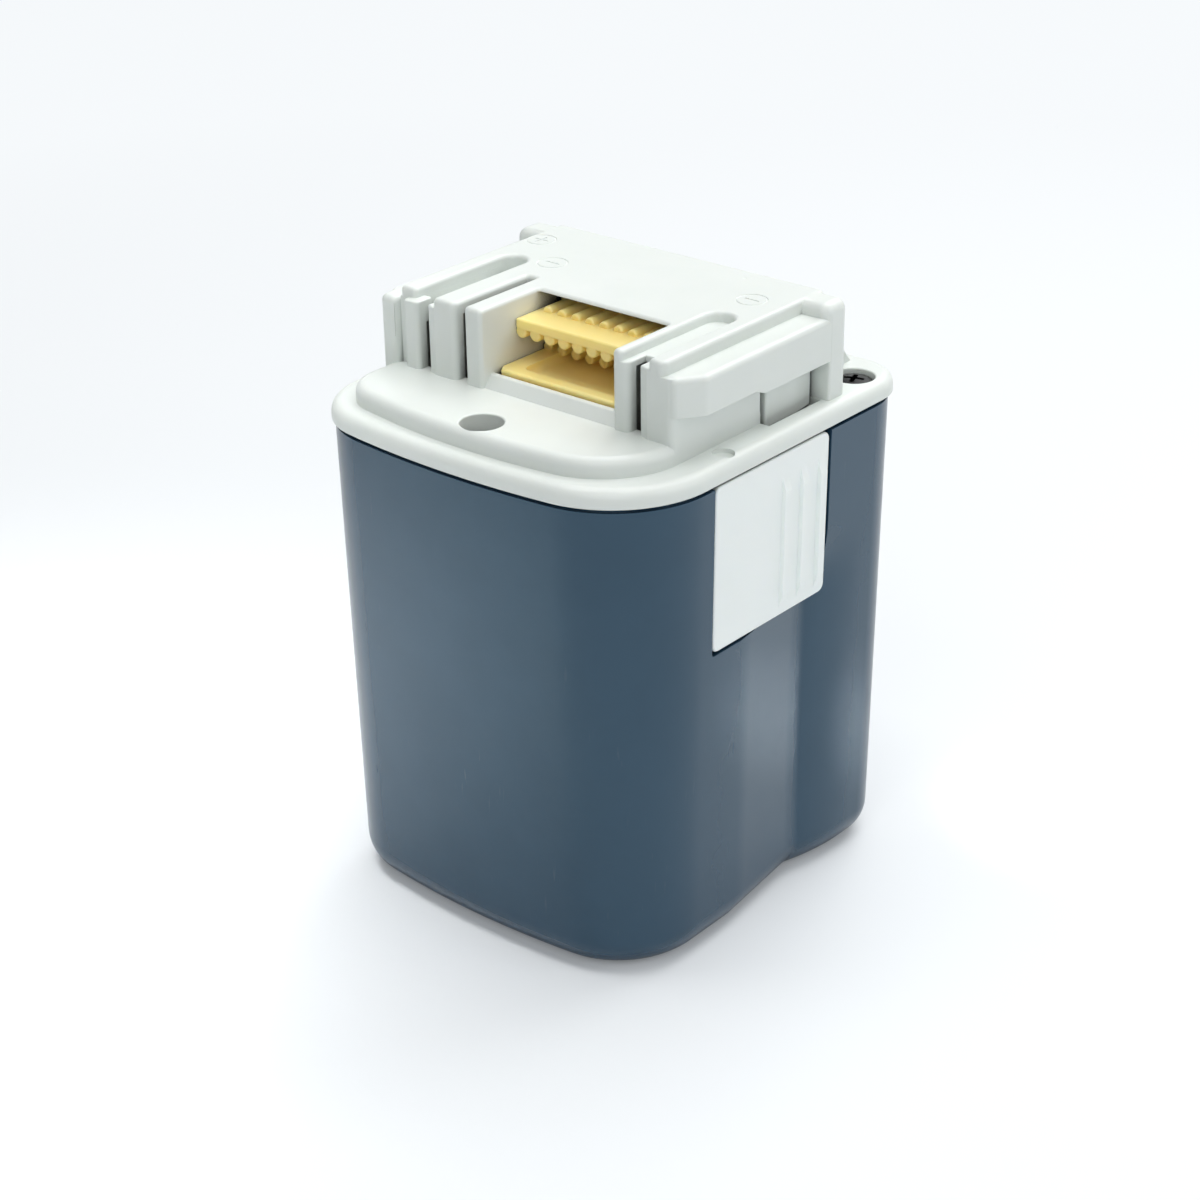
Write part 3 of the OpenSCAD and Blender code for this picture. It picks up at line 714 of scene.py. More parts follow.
CASE_PLASTIC = Moulding(
    "slate_case",
    (0.012, 0.037, 0.070),
    (0.014, 0.041, 0.076),
    (0.14, 0.22),
    0.0012,
    scuff=0.2,
    shine=0.8,
    gloss=(0.62, 0.85, 1.0),
    graze=0.15,
)
COVER_PLASTIC = Moulding(
    "pale_cover",
    (0.72, 0.764, 0.73),
    (0.742, 0.781, 0.75),
    (0.34, 0.44),
    0.004,
    glow=0.06,
    shine=0.55,
    # Painted shade darkens deep places within 6 mm.
    crevice_shade=6.0,
)
# Cover finish with painted shade reaching only 2 mm, which darkens the narrow gaps round the latch block.
LATCH_PLASTIC = replace(COVER_PLASTIC, name="pale_latch", crevice_shade=2.0)
BUTTON_PLASTIC = Moulding(
    "pale_button",
    (0.885, 0.935, 0.92),
    (0.9, 0.945, 0.93),
    (0.34, 0.44),
    0.004,
    glow=0.06,
    shine=0.4,
    # Painted shade darkens deep places within 2.5 mm.
    crevice_shade=2.5,
)
CONNECTOR_PLASTIC = Moulding(
    "yellow_connector",
    (0.98, 0.73, 0.25),
    (0.99, 0.78, 0.32),
    (0.30, 0.40),
    0.003,
    glow=0.6,
    seep=2.5,
    shine=0.6,
)
CHIP_PLASTIC = Moulding("black_chip", (0.02, 0.02, 0.021), (0.03, 0.03, 0.03), (0.4, 0.55), 0.004)
BEAD = Moulding("dipped_bead", (0.42, 0.2, 0.05), (0.5, 0.26, 0.08), (0.2, 0.35), 0.003)
SLEEVED_LEAD = Moulding("lead_sleeve", (0.68, 0.68, 0.62), (0.72, 0.71, 0.66), (0.4, 0.5), 0.003)
BLACK_SCREW = Metal(
    "black_screw", (0.008, 0.008, 0.009), (0.02, 0.019, 0.018), (0.26, 0.4), (2, 2, 2), 0.004, 0.9
)
SPRING_STEEL = Metal("spring_wire", (0.56, 0.57, 0.58), (0.45, 0.45, 0.46), (0.18, 0.32), (6, 1, 1))
BRASS = Metal("stamped_brass", (0.72, 0.5, 0.2), (0.6, 0.4, 0.16), (0.2, 0.36), (8, 0.8, 2))
NICKEL = Metal("nickel_strip", (0.62, 0.61, 0.58), (0.52, 0.51, 0.49), (0.24, 0.4), (0.6, 8, 8))
BOARD = Sheet("coated_board", (0.015, 0.1, 0.04), (0.03, 0.16, 0.06), (0.25, 0.4), (2, 2, 0.5), 0.004)
CELL_SLEEVE = Sheet(
    "cell_sleeve", (0.03, 0.2, 0.11), (0.04, 0.24, 0.14), (0.22, 0.34), (0.3, 0.3, 0.1), 0.01
)
FIBRE = Sheet("pressed_fibre", (0.68, 0.62, 0.5), (0.76, 0.71, 0.6), (0.7, 0.9), (1.5, 3, 3), 0.03)


def smooth(piece: bpy.types.Object, sharp: float = 35.0) -> bpy.types.Object:
    """Shades a piece smooth up to a sharp angle, with its flats kept flat.

    Args:
        piece: Object to shade.
        sharp: Angle in degrees above which an edge stays sharp.

    Returns:
        The object.
    """
    piece.data.polygons.foreach_set("use_smooth", [True] * len(piece.data.polygons))
    piece.data.set_sharp_from_angle(angle=math.radians(sharp))
    flats = piece.modifiers.new("flats", "WEIGHTED_NORMAL")
    flats.keep_sharp = True
    return piece


def dress(
    piece: bpy.types.Object, name: str, finish: bpy.types.Material, body: Body, slot: str, *nodes: str
) -> bpy.types.Object:
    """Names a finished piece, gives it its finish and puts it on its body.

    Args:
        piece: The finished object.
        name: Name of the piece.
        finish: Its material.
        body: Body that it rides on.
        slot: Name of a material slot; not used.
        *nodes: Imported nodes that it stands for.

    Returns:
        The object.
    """
    piece.name = piece.data.name = name
    piece.data.materials.clear()
    piece.data.materials.append(finish)
    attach(piece, body.value)
    if nodes:
        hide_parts(*nodes)
    log.info("%s: %d faces on %s", name, len(piece.data.polygons), body.value)
    return piece


@dataclass(frozen=True)
class CasePlan:
    """Plan of the tub and of the cover's rim: bowed front, round corners and waisted flanks."""

    half_w: float
    half_d: float
    bow: float = 3.2
    front_r: float = 15.4
    front_left_r: float = 12.9
    rear_r: float = 8.7
    waist_depth: float = 2.4
    waist_start: float = -7.2
    waist_valley: float = 9.6
    waist_end: float = 21.0

    @property
    def bow_r(self) -> float:
        """Radius of the bowed front."""
        return (self.half_w**2 + self.bow**2) / (2 * self.bow)

    def waist(self, y: float) -> float:
        """Depth of the waist at a place along the flank.

        Args:
            y: Place along the flank.

        Returns:
            The depth.
        """
        lobe = self.waist_end - self.waist_valley
        lobe_r = (lobe**2 + self.waist_depth**2) / (2 * self.waist_depth)
        if y <= self.waist_start or y >= self.waist_end:
            return 0.0
        if y < self.waist_valley:
            return self.waist_depth * (y - self.waist_start) / (self.waist_valley - self.waist_start)
        return lobe_r - math.sqrt(lobe_r**2 - (self.waist_end - y) ** 2)

    def half(self, front_r: float, inward: float, share: float, stops: Sequence[float]) -> list[Point]:
        """Right half of the outline, from the middle of the front to the middle of the rear.

        Args:
            front_r: Radius of the front corner.
            inward: How far to move the outline in.
            share: Share of the waist, from 0 to 1.
            stops: Places along the flank that need a point.

        Returns:
            The points.
        """
        middle = -self.half_d + self.bow_r
        side = self.half_w - front_r
        shoulder = middle - math.sqrt((self.bow_r - front_r) ** 2 - side**2)
        turn = math.degrees(math.atan2(shoulder - middle, side))
        rear = self.half_d - self.rear_r
        half = arc((0, middle), self.bow_r - inward, -90, turn, 16)[:-1]
        half += arc((side, shoulder), front_r - inward, turn, 0, 24)[:-1]
        places = self.flank(shoulder, rear, stops)
        half += [(self.half_w - inward - share * self.waist(y), y) for y in places]
        return half + arc((self.half_w - self.rear_r, rear), self.rear_r - inward, 0, 90, 16)[1:]

    def outline(self, inward: float, share: float, stops: Sequence[float] = ()) -> list[Point]:
        """Whole outline, moved inwards.

        Args:
            inward: How far to move it in.
            share: Share of the waist, from 0 to 1.
            stops: Places along the flank that need a point.

        Returns:
            The points, starting at the middle of the front.
        """
        right = self.half(self.front_r, inward, share, stops)
        left = self.half(self.front_left_r, inward, share, stops)
        return right + [(-x, y) for x, y in reversed(left[1:])]

    def flank(self, front: float, rear: float, stops: Sequence[float]) -> list[float]:
        """Places along the flank that carry a point.

        Args:
            front: Where the flank starts.
            rear: Where it ends.
            stops: Places that need a point.

        Returns:
            The places, from front to rear.
        """
        lobe = self.waist_end - self.waist_valley
        places = {front, rear, self.waist_start, self.waist_valley, self.waist_end, *stops}
        places |= {self.waist_valley + lobe * k / 12 for k in range(1, 12)}
        places |= {self.waist_start + (self.waist_valley - self.waist_start) * k / 6 for k in range(1, 6)}
        return sorted(places)


@dataclass
class CaseTub:
    """Glossy tub with a rounded foot, a notch in each flank for its button and a shadow line at the rim."""

    plan: CasePlan
    height: float
    notch_y: Point
    notch_z: float
    wall: float = 2.7
    floor: float = 2.8
    foot_r: float = 5.3
    draft: float = 0.9
    seam_h: float = 0.4
    seam_d: float = 0.7
    waist_z: float = 16.3
    fade_z: Point = (46.0, 57.0)
    foot_waist: float = 0.85
    notch_depth: float = 9.0
    notch_r: float = 0.5

    def lean(self, z: float) -> float:
        """How far the wall stands in at a height because of its draft."""
        return max(0.0, self.height - z) * math.tan(math.radians(self.draft))

    def share(self, z: float) -> float:
        """Share of the waist at a height.

        Args:
            z: The height.

        Returns:
            The share, from 0 to 1.
        """
        if z < self.waist_z:
            rise = max(0.0, (z - self.foot_r) / (self.waist_z - self.foot_r))
            return self.foot_waist + (1 - self.foot_waist) * rise
        fade = min(1.0, max(0.0, (z - self.fade_z[0]) / (self.fade_z[1] - self.fade_z[0])))
        return 1 - fade * fade * (3 - 2 * fade)

    def ring(self, z: float, inward: float) -> list[Place]:
        """Outline at a height, moved in by the draft and a distance."""
        outline = self.plan.outline(inward + self.lean(z), self.share(z), self.notch_y)
        return [(x, y, z) for x, y in outline]

    def build(self, finish: bpy.types.Material) -> bpy.types.Object:
        """Builds the tub as one skin from the foot up, over the rim and down inside.

        Args:
            finish: Material of the tub.

        Returns:
            The piece.
        """
        rim = self.height - self.seam_h
        foot = [math.pi / 2 * k / 12 for k in range(13)]
        rings = [self.ring(self.foot_r * (1 - math.cos(t)), self.foot_r * (1 - math.sin(t))) for t in foot]
        body = [self.foot_r + (self.fade_z[0] - self.foot_r) * k / 10 for k in range(1, 10)]
        fade = [self.fade_z[0] + (self.fade_z[1] - self.fade_z[0]) * k / 12 for k in range(13)]
        upper = [self.fade_z[1] + (rim - self.fade_z[1]) * k / 4 for k in range(1, 5)]
        rings += [self.ring(z, 0.0) for z in body + fade + upper]
        seam = self.plan.outline(self.seam_d, 0.0, self.notch_y)
        rings += [[(x, y, z) for x, y in seam] for z in (rim, self.height)]
        inside = self.plan.outline(self.wall, 1.0, self.notch_y)
        rings += [[(x, y, z) for x, y in inside] for z in (self.height, self.floor)]
        tub = skin("case", rings)
        low = (self.plan.half_w - self.notch_depth, self.notch_y[0], self.notch_z)
        high = (self.plan.half_w + 1, self.notch_y[1], self.height + 1)
        combine(tub, both(lambda: block(low, high, self.notch_r, Axis.X)), "DIFFERENCE")
        return dress(smooth(tub), "case_tub", finish, Body.PACK, "case_plastic", "case")


@dataclass
class Cover:
    """Pale cover: rim, platform, railed head with fins and slots, posts and gussets."""

    plan: CasePlan
    low: float
    high: float
    screws: Sequence[Point]
    rim_t: float = 2.7
    platform_t: float = 2.7
    setback: float = 2.8
    rim_tight: float = 4.0
    rim_rear_tight: float = 1.7
    platform_tight: float = 6.3
    edge: float = 1.7
    rim_under: float = 0.25
    platform_edge: float = 1.4
    platform_inset: float = 0.4
    head_x: float = 25.4
    far_x: float = -26.9
    ridge_x: float = 23.8
    front: float = -16.7
    rear: float = 18.8
    rail_x: float = 28.0
    rail_low: float = 3.8
    rail_h: float = 5.5
    rail_lead: float = 3.6
    rail_root: Point = (0.75, 0.3)
    rail_round: Point = (1.1, 1.6)
    rail_edge: Point = (0.9, 0.15)
    web_t: float = 2.0
    plate_t: float = 1.8
    groove_depth: float = 1.4
    bay: Point = (-7.8, 15.2)
    bay_back: float = -4.7
    bay_lip: float = 0.45
    tray_front: float = -14.0
    pocket_back: float = 1.7
    groove_left: Point = (-20.9, -16.6)
    groove_right: Point = (16.8, 21.1)
    groove_ends: Point = (4.2, 3.2)
    slot_a: Point = (-19.6, -17.93)
    slot_b: Point = (-12.6, -10.9)
    slot_c: Point = (17.8, 19.5)
    slot_lead: Point = (1.5, 0.5)
    nick: Point = (1.6, 1.2)
    jamb_l: float = 5.0
    jamb_rise: float = 0.3
    jamb_edge: float = 0.9
    fin_r: float = 1.0
    fin_edge: float = 0.25
    lead_r: float = 0.5
    slot_r: float = 0.3
    trench: Point = (3.0, 1.6)
    slot_end: float = -12.9
    slot_b_end: float = -1.5
    pocket_w: float = 4.4
    pocket_y: Point = (-14.9, -2.0)
    pocket_drops: Place = (2.1, 0.5, 0.9)
    pocket_lip: Point = (1.6, 1.1)
    hollow: Point = (-1.0, 16.8)
    hollow_z: float = 84.4
    seat_x: float = 13.5
    window_y: Point = (2.0, 14.2)
    lintel_lead: float = 4.9
    lintel_run: float = 2.6
    sill: Place = (26.9, 13.95, 1.1)
    post_y: Point = (14.2, 18.5)
    post_x: float = 28.05
    post_r: Point = (0.4, 1.6)
    post_edge: float = 1.5
    ledge: Point = (1.2, 0.7)
    gusset_x: Point = (19.8, 21.4)
    gusset_end: float = 2.9
    gusset_drop: float = 1.5
    gusset_edge: float = 0.3
    ramp_h: float = 1.7
    ramp_flat: float = 0.7
    ramp_r: Point = (0.15, 0.6)
    seat_drop: float = 1.0
    counterbore_r: float = 3.0
    hole_lip: float = 0.25
    dimple_r: Place = (1.4, 1.52, 1.55)
    dimple_depth: Point = (0.75, 0.65)
    dimple_place: Point = (2.4, -9.0)
    mark_places: tuple[tuple[float, float, Sign], ...] = (
        (-21.2, 11.3, Sign.PLUS),
        (-13.2, 4.5, Sign.MINUS),
        (18.3, 9.3, Sign.MINUS),
    )
    mark_ring: Place = (2.0, 2.15, 2.3)
    mark_depth: Point = (0.04, 0.1)
    mark_bar: Place = (1.2, 0.17, 0.08)
    pips: tuple[Place, ...] = ((-0.75, 4.4, 0.8), (12.2, 15.9, 0.4))
    pip_cut: Point = (0.15, 0.1)
    soft: float = 0.7
    softer: float = 1.2

    @property
    def rim_z(self) -> float:
        """Top of the rim."""
        return self.low + self.rim_t

    @property
    def platform_z(self) -> float:
        """Top of the platform."""
        return self.rim_z + self.platform_t

    @property
    def groove_z(self) -> float:
        """Floor of the wide grooves."""
        return self.high - self.groove_depth

    @property
    def roof_z(self) -> float:
        """Underside of the top plate."""
        return self.high - self.plate_t

    @property
    def rail_z(self) -> Point:
        """Underside and top of the rails."""
        return (self.platform_z + self.rail_low, self.platform_z + self.rail_low + self.rail_h)

    @property
    def window_z(self) -> float:
        """Top of the latch window."""
        return self.rail_z[0] - 0.8

    @property
    def web_x(self) -> float:
        """Inner face of the side walls."""
        return self.head_x - self.web_t

    @property
    def floor_x(self) -> float:
        """Half width of the floor under the grooves."""
        return self.ridge_x - 0.05

    @property
    def root_z(self) -> float:
        """Underside of the blocks on the rim, sunk into it."""
        return self.rim_z - 1

    @property
    def shoulder_z(self) -> float:
        """Top of the side walls, just under the top of the rails."""
        return self.rail_z[1] - 0.1

    def rim(self) -> bpy.types.Object:
        """Rim over the tub, with a rounded top edge and tighter corners at the front left and the rear.

        Returns:
            The solid.
        """
        rear_r = self.plan.rear_r - self.rim_rear_tight
        plan = replace(self.plan, front_left_r=self.plan.front_r - self.rim_tight, rear_r=rear_r)
        return prism(plan.outline(0.0, 0.0), self.low, self.rim_z, self.edge, self.rim_under, steps=FINE)

    def platform(self) -> bpy.types.Object:
        """Platform on the rim, with the same bowed front.

        Returns:
            The solid.
        """
        corner = self.plan.front_r - self.setback
        plan = replace(
            self.plan,
            half_w=self.head_x,
            half_d=self.plan.half_d - self.setback,
            front_r=corner,
            front_left_r=corner - self.platform_tight,
        )
        outline = [(x, min(y, self.rear - self.platform_inset)) for x, y in plan.outline(0.0, 0.0)]
        return prism(tidy(outline), self.root_z, self.platform_z, self.platform_edge, steps=FINE)

    def top_outline(self) -> list[Point]:
        """Outline of the top level, round the grooves, the open slot and the bay.

        Returns:
            The points.
        """
        s, y, x, step = self.soft, self.front, self.ridge_x, self.front + self.nick[1]
        (a0, a1), (c0, c1) = self.groove_left, self.groove_right
        ra, rc = (a1 - a0) / 2 - 0.01, (c1 - c0) / 2 - 0.01
        (b0, b1), (d0, d1) = self.slot_b, self.bay
        (end_a, end_c), end_b, back = self.groove_ends, self.slot_b_end, self.bay_back
        left = [(-x, step, s), (a0, step, s), (a0, end_a, ra), (a1, end_a, ra), (a1, y, s)]
        left += [(b0, y, self.fin_r), (b0, end_b, self.slot_r), (b1, end_b, self.slot_r), (b1, y, s)]
        right = [(d0, y, s), (d0, back, s), (d1, back, s), (d1, y, s), (c0, y, s)]
        right += [(c0, end_c, rc), (c1, end_c, rc), (c1, y, s), (x, y, self.softer)]
        return rounded([*left, *right, (x, self.rear, s), (-x, self.rear, s)], FINE)

    def fins(self) -> list[bpy.types.Object]:
        """Fins under the grooves and beside the slots, left and right of the bay.

        Returns:
            The solids.
        """
        s, y, back, mouth = self.soft, self.front, self.hollow[0], self.slot_end
        (a0, a1), (b0, b1), (c0, c1) = self.slot_a, self.slot_b, self.slot_c
        (lead, deep), edge, r, n0 = self.slot_lead, self.lead_r, self.fin_r, -self.ridge_x
        n1, bottom, far = n0 + self.nick[0], y + self.nick[1], y + self.jamb_l
        jamb = [(self.far_x, y, self.softer), (n0, y, r), (n0, bottom), (n0 + 1, bottom), (n0 + 1, far)]
        jamb.append((self.far_x, far))
        left = [(-self.floor_x, bottom), (n1, bottom), (n1, y, edge), (a0, y, s), (a0, mouth)]
        left += [(a1, mouth), (a1, y + deep, self.slot_r), (a1 + lead, y, edge)]
        left += [(b0, y, r), (b0, self.slot_b_end), (b1, self.slot_b_end), (b1, y, s)]
        left += [(self.bay[0], y, s), (self.bay[0], back), (-self.floor_x, back)]
        right = [(self.bay[1], back), (self.bay[1], y, s), (c0, y, r), (c0, mouth), (c1, mouth)]
        right += [(c1, y + deep, self.slot_r), (c1 + lead, y, edge)]
        low, shoulder = self.root_z, self.shoulder_z
        blocks = [prism(rounded(left), low, self.groove_z, self.fin_edge)]
        blocks.append(prism(rounded(jamb), low, self.rail_z[1] + self.jamb_rise, self.jamb_edge))
        blocks.append(block((-self.head_x, far - 1, low), (n0 + 1, back, shoulder)))
        for x, top in ((self.head_x, shoulder), (self.ridge_x, self.groove_z)):
            outline = rounded([*right, (x, y, self.softer), (x, back)])
            blocks.append(prism(outline, low, top, self.fin_edge))
        return blocks

    def plate(self) -> list[bpy.types.Object]:
        """Top plate with its rounded edges, and the thin floor under its grooves.

        Returns:
            The solids.
        """
        low = (-self.floor_x, self.hollow[0] - 0.5, self.roof_z)
        return [
            prism(self.top_outline(), self.groove_z - 0.3, self.high, self.soft - 0.05),
            block(low, (self.floor_x, self.rear - 0.05, self.groove_z)),
        ]

    def rail(self, side: Side) -> bpy.types.Object:
        """Rail along one side, with its slanted lead-in, clear of the nick on the left.

        Args:
            side: Flank that it is on.

        Returns:
            The solid.
        """
        y0, y1 = self.front + 0.1, self.post_y[0] + 1
        inner, root = self.ridge_x - self.rail_root[0], self.ridge_x + self.rail_root[1]
        step = self.front + self.nick[1] + self.rail_root[1]
        start = [(inner, y0)] if side is Side.RIGHT else [(inner, step), (root, step), (root, y0)]
        (near_r, far_r), (upper, under) = self.rail_round, self.rail_edge
        outline = [*start, (self.head_x, y0, near_r), (self.rail_x, y0 + self.rail_lead, far_r)]
        outline += [(self.rail_x, y1), (inner, y1)]
        rail = prism(rounded(outline), *self.rail_z, upper, under, steps=FINE)
        return rail if side is Side.RIGHT else flipped(rail)

    def web(self) -> list[bpy.types.Object]:
        """Side wall on the right in front of the latch window, the lintel over it and the post behind it.

        Returns:
            The solids.
        """
        low, inner, top = self.root_z, self.web_x, self.shoulder_z
        start, back, end = self.hollow[0] - 1, self.rear - 0.1, self.post_y[0] + 1
        slope, roof = self.window_y[0] - self.lintel_lead, self.window_z
        lintel = [(slope, self.rail_z[0] + 0.2), (slope + self.lintel_run, roof), (end, roof)]
        lintel += [(end, top - 1.2), (slope, top - 1.2)]
        (near, far), (near_r, far_r), x = self.post_y, self.post_r, self.post_x
        post = [(inner - 1, near), (x, near, near_r), (x, far, far_r), (inner - 1, far)]
        upper = [(inner - 3, near - 1), (x, near - 1, far_r), (x, far, far_r), (inner - 3, far)]
        ledge = (self.ridge_x - self.ledge[0], start, top - self.ledge[1])
        return [
            block((inner, start, low), (self.head_x, self.window_y[0], top), 0.2),
            block((inner, start, roof), (self.head_x, back, top)),
            prism(lintel, inner, self.rail_x, 0.15, axis=Axis.X),
            block(ledge, (self.head_x - 0.3, back, top)),
            block(ledge, (self.ridge_x, back, self.groove_z)),
            prism(rounded(post), low, self.groove_z - 1),
            prism(rounded(upper), self.rail_z[0], self.high - 0.01, self.post_edge, steps=FINE),
        ]

    def gusset(self) -> bpy.types.Object:
        """Slanted fin behind the head on the right.

        Returns:
            The solid.
        """
        end, top = self.plan.half_d - self.gusset_end, self.high - self.gusset_drop
        low, root = self.root_z, self.rear - 1
        outline = [(root, low), (end, low), (end, self.rim_z), (self.rear, top), (root, top)]
        return prism(outline, *self.gusset_x, self.gusset_edge, self.gusset_edge, Axis.X)

    def ramp(self) -> bpy.types.Object:
        """Ramp in front of the connector tray, with a narrow flat top.

        Returns:
            The solid.
        """
        low, top = self.platform_z - 1, self.platform_z + self.ramp_h
        foot, end, (crest_r, bend_r) = self.front + 0.5, self.tray_front - 0.2, self.ramp_r
        outline = [(foot, low), (end, low), (end, top, crest_r), (end - self.ramp_flat, top, bend_r)]
        outline.append((foot, self.platform_z + 0.05))
        return prism(rounded(outline), self.bay[0] - 0.5, self.bay[1] + 0.5, axis=Axis.X)

    def head(self) -> list[bpy.types.Object]:
        """Every block of the head.

        Returns:
            The solids.
        """
        low, wall, (g0, g1) = self.root_z, self.rear - self.web_t, self.groove_left
        bed, end = self.groove_z - self.trench[1] - 0.5, self.groove_ends[0] + 0.8
        parts = self.plate() + self.fins()
        parts.append(block((-self.head_x, wall, low), (self.head_x, self.rear, self.shoulder_z), 0.3))
        parts.append(block((-self.floor_x, wall, low), (self.floor_x, self.rear, self.groove_z + 0.2)))
        parts.append(block((g0 - 1, self.hollow[0] - 0.5, bed), (g1 + 1, end, self.groove_z - 0.02)))
        parts += [self.rail(side) for side in Side]
        for part in [self.gusset(), *self.web()]:
            parts += [part, mirrored(part)]
        return parts

    def pockets(self) -> list[bpy.types.Object]:
        """Cutters for the pockets behind the slots, the first one with a lower mouth.

        Returns:
            The cutters.
        """
        cutters = []
        (start, end), half = self.pocket_y, self.pocket_w / 2
        lip = start + self.pocket_lip[0]
        for slot, drop in zip((self.slot_a, self.slot_b, self.slot_c), self.pocket_drops, strict=True):
            middle, top = sum(slot) / 2, self.groove_z - drop
            mouth = top - self.pocket_lip[1] if slot is self.slot_a else top
            for near, far, roof in ((start, lip, mouth), (lip - 0.1, end, top)):
                cutters.append(block((middle - half, near, self.rim_z), (middle + half, far, roof)))
        return cutters

    def groove_bed(self) -> bpy.types.Object:
        """Cutter that sinks the floor of the left groove.

        Returns:
            The cutter.
        """
        lead, deep = self.trench
        g0, g1, end = self.groove_left[0] + 0.02, self.groove_left[1] - 0.02, self.groove_ends[0] - 0.02
        start, r = self.front + lead, (g1 - g0) / 2 - 0.01
        outline = rounded([(g0, start), (g1, start), (g1, end, r), (g0, end, r)], FINE)
        return prism(outline, self.groove_z - deep, self.groove_z + 0.01)

    def hollows(self) -> list[bpy.types.Object]:
        """Cutters for the bay, the slots, the left groove and the hollow, window and sill of each latch.

        Returns:
            The cutters.
        """
        low, (y0, y1) = self.low - 1, self.window_y
        bay_end = (self.bay[1], self.pocket_back, self.high - self.bay_lip)
        cutters = [block((self.bay[0], self.tray_front, low), bay_end), *self.pockets(), self.groove_bed()]
        sill_x, sill_y, sill_drop = self.sill
        for part in (
            block((self.seat_x, self.hollow[0], low), (self.web_x, self.hollow[1], self.hollow_z)),
            block((self.web_x - 1, y0, self.rim_z), (self.head_x + 1.5, y1, self.window_z)),
            block((self.web_x - 1, y0, self.rim_z - sill_drop), (sill_x, sill_y, self.rim_z + 1)),
        ):
            cutters += [part, mirrored(part)]
        return cutters

    def marks(self) -> list[bpy.types.Object]:
        """Cutters for the sunk rings, bars and dots in the top.

        Returns:
            The cutters.
        """
        cutters = []
        (inner, middle, outer), (shallow, deep) = self.mark_ring, self.mark_depth
        long, thin, sunk = self.mark_bar
        over, low, high = self.high + 0.1, self.high - sunk, self.high + 1
        ring = [(inner, over), (inner, self.high - shallow), (middle, self.high - deep)]
        ring += [(outer, self.high - shallow), (outer, over)]
        for x, y, sign in self.mark_places:
            rings = [[(u, v, w) for u, v in arc((x, y), r, 0, 360, 48)[:-1]] for r, w in ring]
            cutters.append(skin("ring", rings, closed=True))
            bars = [(long, thin), (thin, long)] if sign is Sign.PLUS else [(long, thin)]
            cutters += [block((x - u, y - v, low), (x + u, y + v, high)) for u, v in bars]
        slope, drop = self.pip_cut
        for x, y, r in self.pips:
            cutters.append(turned([(r - slope, self.high - drop), (r, self.high), (r, high)], (x, y)))
        return cutters

    def holes(self) -> list[bpy.types.Object]:
        """Cutters for the screw holes and the dimples in the rim.

        Returns:
            The cutters.
        """
        cutters = []
        r, lip = self.counterbore_r, self.hole_lip
        for x, y in self.screws:
            mouth = self.platform_z if y < 0 else self.rim_z
            flare = [(r + lip * (1 - math.cos(t)), mouth - lip + lip * math.sin(t)) for t in QUARTER]
            profile = [(r, self.low + self.seat_drop), *flare, (r + lip, mouth + 1)]
            cutters.append(turned(profile, (x, y), steps=56))
        (r0, r1, r2), (floor, bend) = self.dimple_r, self.dimple_depth
        bowl = [(r0, self.rim_z - floor), (r1, self.rim_z - bend), (r2, self.rim_z + 1)]
        centre = (self.plan.half_w - self.dimple_place[0], self.dimple_place[1])
        return cutters + both(lambda: turned(bowl, centre))

    def build(self, finish: bpy.types.Material) -> bpy.types.Object:
        """Joins the rim, the platform and the head, then cuts the hollows, holes and marks.

        Args:
            finish: Material of the cover.

        Returns:
            The piece.
        """
        cover = joined([self.rim(), self.platform(), *self.head()])
        combine(cover, self.hollows(), "DIFFERENCE")
        combine(cover, [self.ramp()], "UNION")
        combine(cover, self.holes() + self.marks(), "DIFFERENCE")
        return dress(smooth(cover), "head_cover", finish, Body.PACK, "cover_plastic", "cover")


